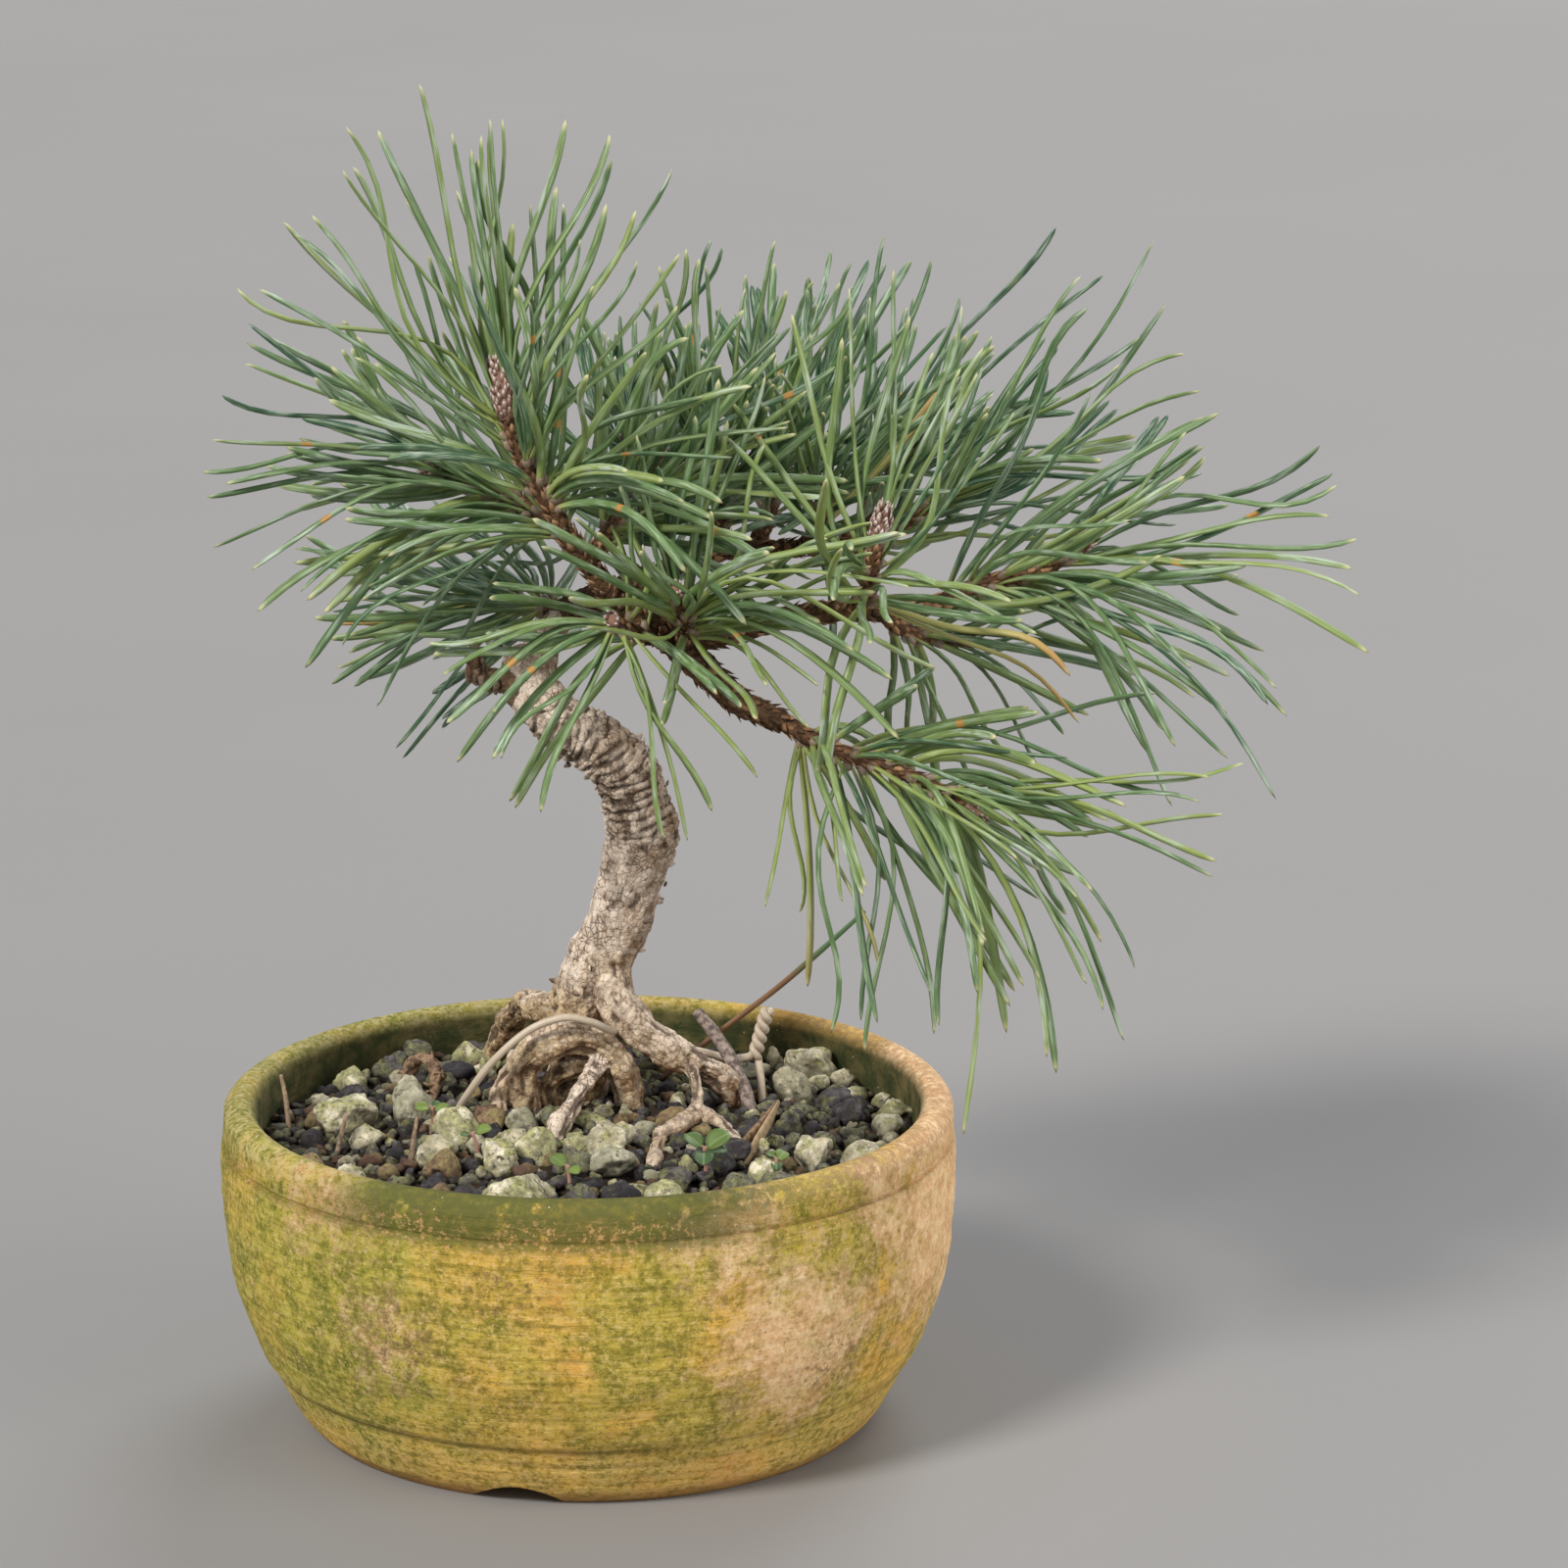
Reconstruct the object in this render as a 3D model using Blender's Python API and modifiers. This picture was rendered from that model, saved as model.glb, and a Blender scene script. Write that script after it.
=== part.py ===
"""A young two-needle pine kept as a bonsai in a round, hand-thrown terracotta pot.

Units are metres and +Z is up.  The origin is on the pot's axis, on the plane that the
pot stands on, and the front of the pot faces -Y.  Sizes and tables of points are given
in millimetres, and millimetre values are scaled by MM where the geometry is made.
"""
import math
import random

import bmesh
import bpy
import numpy as np
from mathutils import Matrix, Vector

MM = 0.001
CLEARANCE = 0.3            # between pieces that touch
SOCKET_ROOM = 0.45         # round a piece that is sunk in the soil

# Pot
POT_HEIGHT = 68.0
RIM_RADIUS = 75.0          # outside, at the lip
LIP_RADIUS = 3.4           # of the rounded lip
FLOOR = 9.0                # thickness of the bottom
POT_SIDES = 36
OUTER_WALL = [(75.2, 60.4), (74.6, 59.3), (75.7, 58.2), (75.5, 46.0), (73.6, 31.0), (69.0, 17.8),
              (67.2, 14.4), (66.2, 13.2), (61.4, 4.2), (58.8, 1.2), (57.4, 0.0)]
INNER_WALL = [(50.0, FLOOR), (57.0, 13.0), (63.0, 24.0), (67.0, 38.0), (68.2, 52.0)]

# Drainage: a groove across the underside, with two holes that open into it
CHANNEL_X = -13.0
CHANNEL_WIDTH = 18.5
CHANNEL_HEIGHT = 4.0
DRAIN_Y = 25.0
DRAIN_RADIUS = 5.0
MESH_SIZE = 21.0
MESH_THICKNESS = 1.2
MESH_OPENING = 5.0
MESH_PITCH = 6.4

# Soil
SOIL_CENTRE_HEIGHT = 60.0
SOIL_SHOULDER_HEIGHT = 58.5
SOIL_EDGE_HEIGHT = 57.5
SOIL_CENTRE_RADIUS = 22.0  # of the level middle
SOIL_SHOULDER_RADIUS = 50.0
SOIL_SIDES = 36

# Anchor wire
WIRE_RADIUS = 0.7
TWIST_TOP = (36.6, 25.0, 78.0)
TWIST_FOOT = (34.0, 25.4, 67.6)
TWIST_TURNS = 2.5
TWIST_OFFSET = 0.9
TWIST_STEPS = 8            # points in a turn
WIRE_STEP = 6.5
WIRE_ROUTE = [(29, 24.5, 66.2), (23, 23.2, 66.6), (17.2, 20.0, 65.4), (12.5, 11.0, 66.8), (6.5, 5.5, 76),
              (1, 5, 80.5), (-5, 4, 82.5), (-12, 4, 80), (-19, 4, 74), (-24.5, 6, 66.5), (-28, 10, 59),
              (-29, 12, 48), (-23, 17, 30), (-15, 23.5, 16), (-13, 25, 9), (-13, 24, 4.5), (-13, 20, 2.3),
              (-13, 0, 2.3), (-13, -20, 2.3), (-13, -24, 4.5), (-13, -25, 9), (-11, -24, 16),
              (8, -12, 30), (27, 6, 44), (35, 17, 55), (35.5, 22.5, 61.5)]

# Needles
SHOOT_SIDES = 6
RING_PITCH = 2.2           # between the rings of a shoot, which carry two fascicles each
FIRST_RING = 2             # the lowest ring with needles
BUD_RINGS = 5              # rings at the tip with none
BUD_RADII = (1.5, 1.9, 1.6, 0.7)
SHOOT_RADIUS = 1.8
FASCICLE_DEPTH = 0.9       # distance of a fascicle's base from the stem's middle, of its radius
FASCICLE_HALF_WIDTH = 0.5
NEEDLE_RADIUS = 0.62
NEEDLE_LENGTHS = (0.82, 1.08)   # shortest and longest, of the shoot's needle length
NEEDLE_OPENING = (4, 8)    # degrees from the middle of a pair to each of its needles
TURN_JITTER = 18           # degrees round the stem
SPREAD_JITTER = 9          # degrees from the stem
NEEDLE_ATTEMPTS = 6        # at growing a fascicle that keeps clear of the others
NEEDLE_GAP = 1.7           # least distance between the middles of two needles
NEEDLE_STEPS = 20          # points along each half of a needle, to test its clearance
NEEDLE_FREE_FROM = 4       # the first point that keeps clear of wood, pot and floor
NEEDLE_WOOD_GAP = 0.9
POT_KEEP_OUT = (80.0, 78.0)     # radius and height that needles stay out of, over the pot
FLOOR_KEEP_OUT = 4.0
BARE_LENGTH = 6.0          # of each shoot, part of the old wood

# Grown wood: centre line and radius
WOOD_STEP = 6.0            # between the rings of a trunk, branch or root
LIMBS = {
    "trunk": [(0, 22, 50, 6), (0, 22, 64, 9.5), (0, 22, 79, 8.6), (1, 22, 87, 7.2), (4, 21, 94, 6.5),
              (8, 20, 103, 6.4), (10, 19, 112, 6.6), (11, 18, 120, 6.8), (8, 17, 131, 6.8),
              (2, 17, 137, 6.6), (-5, 18, 141, 6.2), (-11, 20, 145, 5.8), (-15, 22, 149, 5.2),
              (-19, 22, 155, 4.6), (-22, 21, 159, 3.4)],
    "dead_end": [(-20, 22, 156, 3.0), (-23, 18, 156, 2.4), (-24.5, 15, 151, 1.6), (-24, 14, 146, 1.0)],
    "crook": [(-12, 22, 148, 5), (-9.5, 25, 156, 3.9), (-6, 28, 162, 3.5), (3, 26, 166, 3.3),
              (11, 18, 165, 3.3), (18, 8, 161, 3.4)],
    "leader": [(18, 8, 161, 3.2), (13, 0, 166, 2.9), (7, -4, 172, 2.6), (1, -6, 180, 2.4),
               (-3.5, -7.5, 187, 2.3)],
    "low_branch": [(18, 8, 161, 3.1), (24, 2, 157, 2.9), (31, -4, 151, 2.7), (40, -8, 148, 2.5)],
    "right_branch": [(18, 8, 161, 3.0), (30, 2, 164, 2.6), (38, 0, 167, 2.5), (46, -2, 169, 2.5),
                     (52, -4, 170, 2.4), (60, 0, 169, 2.2), (67, 4, 169, 2.1)],
    "back_branch": [(3, 26, 166, 3.0), (10, 36, 168, 2.5), (18, 44, 169, 2.3), (28, 50, 171, 2.2),
                    (40, 48, 172, 2.1), (52, 44, 173, 2.0)],
}
ROOTS = {
    "right": [(3, 20, 84, 5), (10, 13, 76, 3.7), (20, 16, 68, 3.2), (30, 20, 60, 2.6), (31, 23, 52, 2)],
    "drop": [(19, 14, 69, 2), (21, 11, 66, 1.7), (22, 5, 63, 1.6), (19, -4, 62, 1.5),
             (15, -9, 61.5, 1.4), (14, -22, 60.5, 1.2), (14, -30, 56, 1.0)],
    "side": [(22, 5, 63, 1.5), (25, 0, 62.5, 1.4), (30, -6, 60, 1.2), (33, -9, 55, 1.0)],
    "loop": [(-13, 12, 55, 2.4), (-14, 11, 70, 2.7), (-10, 9, 77, 2.8), (-3, 10, 79, 3.0),
             (3, 12, 76, 2.9), (6, 13, 70, 2.7), (8, 13, 63, 2.5), (9, 12, 54, 2.2)],
    "fold": [(-8, 16, 58, 2.2), (-9, 14, 66, 2.4), (-4, 11, 72, 2.5), (1, 15, 70, 2.4)],
    "pale": [(1, 14, 73, 2.3), (-1, 3, 69, 2.0), (-3, -3, 66, 1.8), (-6, -9, 62, 1.7), (-8, -13, 55, 1.4)],
    "back_left": [(-3, 22, 80, 5.5), (-10, 25, 80, 4.3), (-14, 33, 78, 3.6), (-17, 42, 72, 3),
                  (-21, 50, 64, 2.5), (-23, 55, 54, 2)],
    "hook": [(-13, 11, 71, 1.9), (-18, 12, 67, 1.6), (-19, 9, 62, 1.5), (-17, 7, 55, 1.3)],
    "back": [(3, 26, 78, 5.2), (9, 36, 71, 3.7), (14, 47, 63, 2.8), (16, 53, 53, 2.0)],
}

# Leafy shoots: centre line, needle length, spread from the stem at the foot and at the
# tip in degrees, sag at the needle's end as a share of its length, and lean
SHOOTS = {
    "apex": ([(-3.5, -7.5, 187), (-5.5, -8, 190.5), (-10, -9, 198), (-14, -10, 208), (-17, -8, 221)],
             50, (70, 28), 0.02, (0, 0, 0.15)),
    "left": ([(1, -6, 180), (-6, 2, 186), (-12, 9, 189), (-20, 16, 191), (-33, 22, 194)],
             52, (62, 28), 0.04, (-0.15, 0, 0.1)),
    "low_left": ([(-6, 28, 162), (-9, 38, 162), (-15, 48, 160), (-28, 56, 161)],
                 45, (60, 28), 0.06, (-0.2, 0, 0)),
    "leader_back": ([(1, -6, 180), (6, -3, 187), (12, 1, 194), (16, 5, 200)],
                    42, (66, 28), 0.02, (0.1, 0, 0)),
    "crown_left": ([(18, 44, 169), (13, 50, 178), (8, 56, 190), (7, 56, 197)],
                   42, (65, 28), 0.02, (0, 0, 0)),
    "crown_middle": ([(28, 50, 171), (27, 42, 180), (27, 34, 189), (28, 26, 198)],
                     42, (65, 28), 0.02, (0, 0, 0.1)),
    "crown_back": ([(34, 50, 171), (37, 56, 178), (40, 62, 186), (42, 66, 200)],
                   42, (65, 28), 0.02, (0, 0, 0.1)),
    "crown_right": ([(44, 48, 172), (47, 41, 177), (48, 36, 183), (49, 30, 190)],
                    46, (65, 28), 0.02, (0.1, 0, 0.1)),
    "right_back": ([(52, 44, 173), (60, 46, 174), (67, 46, 179), (78, 48, 187)],
                   50, (60, 28), 0.03, (0.15, 0, 0.15)),
    "right_top": ([(52, 44, 173), (57, 52, 177), (62, 60, 184), (69, 64, 193)],
                  46, (60, 28), 0.02, (0.05, 0, 0.15)),
    "front": ([(52, -4, 170), (54.5, -6, 171.5), (57, -10, 175), (58, -14, 183), (60, -16, 193)],
              50, (78, 28), 0.03, (0, 0, 0.05)),
    "right": ([(67, 4, 169), (74, 6, 170), (80, 8, 173), (92, 10, 175), (103, 12, 182)],
              54, (52, 28), 0.16, (0.25, 0, -0.1)),
    "low_right": ([(40, -8, 148), (48, -13, 144.5), (56, -16, 142), (68, -18, 138), (80, -20, 131)],
                  50, (64, 28), 0.14, (0.08, 0, -0.1)),
    "under": ([(60, 0, 169), (64, 5, 164.5), (70, 11, 161), (79, 16, 159.5)],
              42, (56, 28), 0.08, (0.1, 0, 0)),
    "fork_low": ([(15, 4, 163), (12.5, -7, 161), (10.5, -16, 160.5), (9.5, -24, 162)],
                 36, (72, 28), 0.08, (-0.05, 0, -0.1)),
    "fork_up": ([(20, 4, 162), (23, -5, 167), (27, -13, 172), (31, -20, 178)],
                46, (66, 28), 0.04, (0.1, 0, 0.05)),
}

# Gravel on the soil: place, size along X, Y and Z, and kind of stone
STONES = [
    (-13, -51, 19, 13, 12, "pumice"), (-17, -26, 10, 9, 11, "pumice"), (-28.5, -30, 9, 8, 8, "red"),
    (-27, -9, 9, 8, 10, "pumice"), (-37, 8, 11, 9, 14, "pumice"), (-50, 2, 13, 11, 13, "pumice"),
    (-50, 22, 8, 7, 7, "lava"), (-43, 44, 8, 8, 7, "lava"), (-28, 53, 9, 7, 8, "pumice"),
    (-30, 36, 9, 7, 7, "lava"), (-10, -21, 8, 7, 9, "pumice"), (4, -17, 10, 8, 10, "pumice"),
    (-1, -30, 8, 7, 8, "lava"), (-29, -47, 9, 7, 7, "red"), (46, 40, 14, 12, 13, "pumice"),
    (42, 25, 7, 7, 10, "pumice"), (54, 10, 8, 7, 8, "lava"), (62, 1, 6, 7, 7, "pumice"),
    (46, -22, 8, 7, 10, "pumice"), (56, -20, 9, 7, 7, "pumice"), (31, -43, 9, 8, 7, "lava"),
    (7, -47, 8, 7, 7, "lava"),
]

STONE_ROUGHNESS = (0.84, 1.04)  # of each corner's distance from the middle
STONE_LIFT = 0.17          # of the middle over the soil, as a share of the stone's height
FINE_STONE = 9.5           # a stone this large has finer facets

# Loose bits: centre line and radius
LITTER = {
    "dead_stick": [(22, 24, 78, 1.5), (27, 21, 72, 1.6), (32, 14, 64, 1.6), (35, 8.5, 54, 1.5)],
    "straw_sliver": [(39, -1, 66, 0.6), (36, -10, 63.5, 1.5), (33, -17, 61.5, 1.4), (30, -24, 58, 0.7)],
    "fallen_needle": [(57, 23, 100, 0.4), (47, 22, 91, 0.6), (38, 24.6, 82.3, 0.6), (24, 29, 70, 0.6),
                      (14, 33, 60.2, 0.5)],
    "dry_twig": [(-41, 31, 56, 1.2), (-37.5, 28.5, 66, 1.3), (-33, 25, 65, 1.2), (-34, 20, 56, 1.0)],
    "dry_stalk_left": [(-62, 6, 54, 0.7), (-63, 7, 64, 0.7), (-64, 8, 69, 0.5)],
    "dry_stalk_middle": [(-52, -14, 54, 0.6), (-50, -14, 63, 0.6), (-49, -13, 67, 0.5)],
    "dry_stalk_front": [(-36, -24, 54, 0.7), (-35, -23, 63, 0.7), (-34, -21, 69, 0.5)],
}

# Seedlings: foot, height, number of leaves, leaf diameter
SEEDLINGS = [
    (24, -33, 7.5, 4, 5.0), (-3, -39, 6.0, 3, 4.4), (-33, -2, 6.5, 3, 4.0), (-22, -17, 5.5, 3, 4.0),
    (38, -31, 5.0, 3, 4.2),
]
SEEDLING_RADIUS = 0.45
SEEDLING_DEPTH = 4.0       # of the stalk, in the soil
LEAF_THICKNESS = 0.8
LEAF_RISE = 0.35           # slope of the leaves, up and outward
LEAF_DROP = (0.3, 1.0)     # of the leaves' middles below the stalk's top

MATERIALS = {
    "terracotta": ((0.50, 0.38, 0.12), 0.85, 0.0),
    "bark": ((0.35, 0.24, 0.15), 0.85, 0.0),
    "needle": ((0.12, 0.24, 0.11), 0.45, 0.0),
    "soil": ((0.10, 0.07, 0.05), 0.95, 0.0),
    "pumice": ((0.45, 0.42, 0.30), 0.95, 0.0),
    "lava": ((0.13, 0.10, 0.10), 0.95, 0.0),
    "red": ((0.28, 0.17, 0.11), 0.95, 0.0),
    "wire": ((0.55, 0.45, 0.34), 0.40, 0.8),
    "mesh": ((0.03, 0.03, 0.03), 0.60, 0.0),
    "litter": ((0.30, 0.22, 0.14), 0.90, 0.0),
    "seedling": ((0.10, 0.28, 0.08), 0.50, 0.0),
}


# ---------------------------------------------------------------- scene and helpers

def new_collection(name):
    collection = bpy.data.collections.new(name)
    bpy.context.scene.collection.children.link(collection)
    return collection


def make_material(name):
    color, roughness, metallic = MATERIALS[name]
    material = bpy.data.materials.new(name)
    material.use_nodes = True
    shader = material.node_tree.nodes["Principled BSDF"]
    shader.inputs["Base Color"].default_value = (*color, 1.0)
    shader.inputs["Roughness"].default_value = roughness
    shader.inputs["Metallic"].default_value = metallic
    return material


def add_piece(name, mesh, slot):
    """Link a mesh into the bonsai under its node's name, with its material."""
    piece = bpy.data.objects.new(name, mesh)
    mesh.materials.clear()
    mesh.materials.append(materials[slot])
    bonsai.objects.link(piece)
    return piece


def add_cutter(name, mesh):
    """Link a mesh as a guide that cuts or joins, and isn't a piece itself."""
    cutter = bpy.data.objects.new(name, mesh)
    cutter.hide_render = True
    cutter.display_type = "WIRE"
    cutters.objects.link(cutter)
    return cutter


def apply_boolean(piece, other, operation):
    modifier = piece.modifiers.new(other.name, "BOOLEAN")
    modifier.operation = operation
    modifier.solver = "EXACT"
    modifier.object = other


def smooth_line(points, step):
    """Points about step apart on a smooth curve through rows of x, y, z and radius."""
    rows = np.array(points, float)
    before = 2 * rows[0] - rows[1]
    after = 2 * rows[-1] - rows[-2]
    rows = np.vstack([before, rows, after])
    dense = []
    for start in range(1, len(rows) - 2):
        p0, p1, p2, p3 = rows[start - 1:start + 3]
        for t in np.arange(0, 1, 1 / 24):
            square = (2 * p0 - 5 * p1 + 4 * p2 - p3) * t * t
            cube = (3 * p1 - p0 - 3 * p2 + p3) * t ** 3
            dense.append(0.5 * (2 * p1 + (p2 - p0) * t + square + cube))
    dense = np.array([*dense, rows[-2]])
    steps = np.linalg.norm(np.diff(dense[:, :3], axis=0), axis=1)
    run = np.concatenate([[0], np.cumsum(steps)])
    count = max(2, round(run[-1] / step) + 1)
    at = np.linspace(0, run[-1], count)
    return np.column_stack([np.interp(at, run, column) for column in dense.T])


def unit(vector):
    return vector / np.linalg.norm(vector)


def frames_along(line):
    """The tangent and two crosswise directions at each point, with no twist."""
    tangents = np.gradient(line[:, :3], axis=0)
    side = np.cross(tangents[0], (0.0, 1.0, 0.2))
    frames = []
    for tangent in map(unit, tangents):
        side = unit(side - tangent * side.dot(tangent))
        frames.append((tangent, side, np.cross(tangent, side)))
    return frames


def tube_mesh(name, line, grow=0.0, resolution=2):
    """A round bar along a line of x, y, z and radius, as a closed mesh."""
    curve = bpy.data.curves.new(name, "CURVE")
    curve.dimensions = "3D"
    curve.bevel_depth = MM
    curve.bevel_resolution = resolution
    curve.use_fill_caps = True
    spline = curve.splines.new("POLY")
    spline.points.add(len(line) - 1)
    for point, (x, y, z, radius) in zip(spline.points, line):
        point.co = (x * MM, y * MM, z * MM, 1.0)
        point.radius = radius + grow
    guide = bpy.data.objects.new(name + "_curve", curve)
    bonsai.objects.link(guide)
    evaluated = guide.evaluated_get(bpy.context.evaluated_depsgraph_get())
    mesh = bpy.data.meshes.new_from_object(evaluated)
    mesh.transform(guide.matrix_world)
    bpy.data.objects.remove(guide)
    bm = bmesh.new()
    bm.from_mesh(mesh)
    bmesh.ops.remove_doubles(bm, verts=bm.verts, dist=0.001 * MM)
    bmesh.ops.recalc_face_normals(bm, faces=bm.faces)
    bm.to_mesh(mesh)
    bm.free()
    return mesh


def turned_mesh(name, profile, steps):
    """A profile of radius and height, spun round the Z axis into a closed solid."""
    mesh = bpy.data.meshes.new(name + "_profile")
    points = [(radius * MM, 0.0, height * MM) for radius, height in profile]
    edges = [(index, index + 1) for index in range(len(points) - 1)]
    mesh.from_pydata(points, edges, [])
    guide = bpy.data.objects.new(name + "_profile", mesh)
    bonsai.objects.link(guide)
    screw = guide.modifiers.new("turn", "SCREW")
    screw.steps = steps
    screw.render_steps = steps
    screw.use_merge_vertices = True
    screw.merge_threshold = 0.0001
    evaluated = guide.evaluated_get(bpy.context.evaluated_depsgraph_get())
    turned = bpy.data.meshes.new_from_object(evaluated)
    bpy.data.objects.remove(guide)
    turned.name = name
    return turned


def cylinder_mesh(name, radius, depth, matrix, segments=24):
    mesh = bpy.data.meshes.new(name)
    bm = bmesh.new()
    bmesh.ops.create_cone(bm, cap_ends=True, segments=segments, radius1=radius * MM,
                          radius2=radius * MM, depth=depth * MM, matrix=matrix)
    bm.to_mesh(mesh)
    bm.free()
    return mesh


def box_mesh(name, centre, size):
    mesh = bpy.data.meshes.new(name)
    bm = bmesh.new()
    place = Matrix.Translation(Vector(centre) * MM)
    scale = Matrix.Diagonal((size[0] * MM, size[1] * MM, size[2] * MM, 1.0))
    bmesh.ops.create_cube(bm, size=1.0, matrix=place @ scale)
    bm.to_mesh(mesh)
    bm.free()
    return mesh


def soft_edges(piece, degrees=50):
    piece.data.shade_smooth()
    piece.data.set_sharp_from_angle(angle=math.radians(degrees))


# ---------------------------------------------------------------- pot and soil

def make_pot():
    """The turned bowl, with the groove under it and the two drain holes."""
    lip_height = POT_HEIGHT - LIP_RADIUS
    lip_middle = RIM_RADIUS - LIP_RADIUS
    lip = []
    for degrees in range(180, -1, -45):
        angle = math.radians(degrees)
        lip.append((lip_middle + LIP_RADIUS * math.cos(angle), lip_height + LIP_RADIUS * math.sin(angle)))
    profile = [(0.0, FLOOR), *INNER_WALL, *lip, *OUTER_WALL, (0.0, 0.0)]
    pot = add_piece("pot", turned_mesh("pot", profile, POT_SIDES), "terracotta")

    half = CHANNEL_WIDTH / 2
    radius = (half * half + CHANNEL_HEIGHT ** 2) / (2 * CHANNEL_HEIGHT)
    lie_down = Matrix.Rotation(math.radians(90), 4, "X")
    place = Matrix.Translation(Vector((CHANNEL_X, 0.0, CHANNEL_HEIGHT - radius)) * MM)
    channel = cylinder_mesh("channel", radius, 2.2 * RIM_RADIUS, place @ lie_down, 40)
    apply_boolean(pot, add_cutter("channel", channel), "DIFFERENCE")
    for number, y in enumerate((DRAIN_Y, -DRAIN_Y), 1):
        place = Matrix.Translation(Vector((CHANNEL_X, y, FLOOR / 2)) * MM)
        hole = cylinder_mesh(f"drain_{number}", DRAIN_RADIUS, 2 * FLOOR, place, 16)
        apply_boolean(pot, add_cutter(f"drain_{number}", hole), "DIFFERENCE")
    soft_edges(pot)


def make_drain_mesh(number, y):
    """A square of plastic mesh that keeps the soil out of a drain hole."""
    height = FLOOR + CLEARANCE + MESH_THICKNESS / 2
    centre = (CHANNEL_X, y, height)
    sheet = add_piece(f"drain_mesh_{number}",
                      box_mesh("drain_mesh", centre, (MESH_SIZE, MESH_SIZE, MESH_THICKNESS)), "mesh")
    for column in (-1, 0, 1):
        for row in (-1, 0, 1):
            middle = (CHANNEL_X + column * MESH_PITCH, y + row * MESH_PITCH, height)
            hole = box_mesh("opening", middle, (MESH_OPENING, MESH_OPENING, 3 * MESH_THICKNESS))
            name = f"opening_{number}_{column}_{row}"
            apply_boolean(sheet, add_cutter(name, hole), "DIFFERENCE")


def make_soil(sunk):
    """The potting mix, with a socket for each piece that is sunk in it."""
    profile = [(0.0, SOIL_CENTRE_HEIGHT), (SOIL_CENTRE_RADIUS, SOIL_CENTRE_HEIGHT),
               (SOIL_SHOULDER_RADIUS, SOIL_SHOULDER_HEIGHT),
               (INNER_WALL[-1][0] - CLEARANCE, SOIL_EDGE_HEIGHT)]
    for radius, height in reversed(INNER_WALL):
        profile.append((radius - CLEARANCE, height + CLEARANCE))
    profile.append((0.0, FLOOR + CLEARANCE))
    soil = add_piece("soil", turned_mesh("soil", profile, SOIL_SIDES), "soil")
    for y in (DRAIN_Y, -DRAIN_Y):
        room = 2 * CLEARANCE
        pocket = box_mesh("pocket", (CHANNEL_X, y, FLOOR),
                          (MESH_SIZE + room, MESH_SIZE + room, 2 * (MESH_THICKNESS + room)))
        apply_boolean(soil, add_cutter("pocket", pocket), "DIFFERENCE")
    for name, mesh in sunk:
        apply_boolean(soil, add_cutter(name + "_socket", mesh), "DIFFERENCE")


# ---------------------------------------------------------------- tree

def split_shoot(points):
    """The bare foot of a shoot, which belongs to the wood, and its leafy part."""
    line = smooth_line([(*point, SHOOT_RADIUS) for point in points], 1.0)
    foot_length = round(BARE_LENGTH)
    foot = line[:foot_length + 1]
    tangent = unit(line[foot_length + 1, :3] - line[foot_length - 1, :3])
    leafy = line[foot_length:].copy()
    leafy[0, :3] += tangent * SOCKET_ROOM
    return foot, smooth_line(leafy, RING_PITCH)


def make_wood():
    """Trunk, branches and surface roots: one grown piece, joined from tapered bars."""
    trunk = add_piece("tree_wood", tube_mesh("trunk", smooth_line(LIMBS["trunk"], WOOD_STEP)), "bark")
    bars = {}
    for name, points in LIMBS.items():
        if name != "trunk":
            bars[name] = tube_mesh(name, smooth_line(points, WOOD_STEP), resolution=1)
    for name, points in ROOTS.items():
        bars["root_" + name] = tube_mesh(name, smooth_line(points, WOOD_STEP), resolution=1)
    for name, shoot in SHOOTS.items():
        foot = split_shoot(shoot[0])[0]
        bars["foot_" + name] = tube_mesh(name, foot[::3], resolution=1)
    for name, mesh in bars.items():
        apply_boolean(trunk, add_cutter(name, mesh), "UNION")
    soft_edges(trunk)


class TakenSpace:
    """The points of needles already grown, in a grid, to keep new needles clear."""

    def __init__(self, gap):
        self.gap = gap
        self.grid = {}

    def cell(self, point):
        return tuple(int(value // self.gap) for value in point)

    def is_free(self, points):
        for point in points:
            i, j, k = self.cell(point)
            for a in (i - 1, i, i + 1):
                for b in (j - 1, j, j + 1):
                    for c in (k - 1, k, k + 1):
                        for other in self.grid.get((a, b, c), ()):
                            if math.dist(point, other) < self.gap:
                                return False
        return True

    def take(self, points):
        for point in points:
            self.grid.setdefault(self.cell(point), []).append(tuple(point))


def needle_line(base, direction, length, bend):
    """Points along a needle's two straight halves, which meet on its curve."""
    knots = [base + length * (direction * s + bend * s * s) for s in (0.0, 0.5, 1.0)]
    t = np.linspace(0, 1, NEEDLE_STEPS + 1)[:, None]
    return np.vstack([knots[0] + (knots[1] - knots[0]) * t, (knots[1] + (knots[2] - knots[1]) * t)[1:]])


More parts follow.
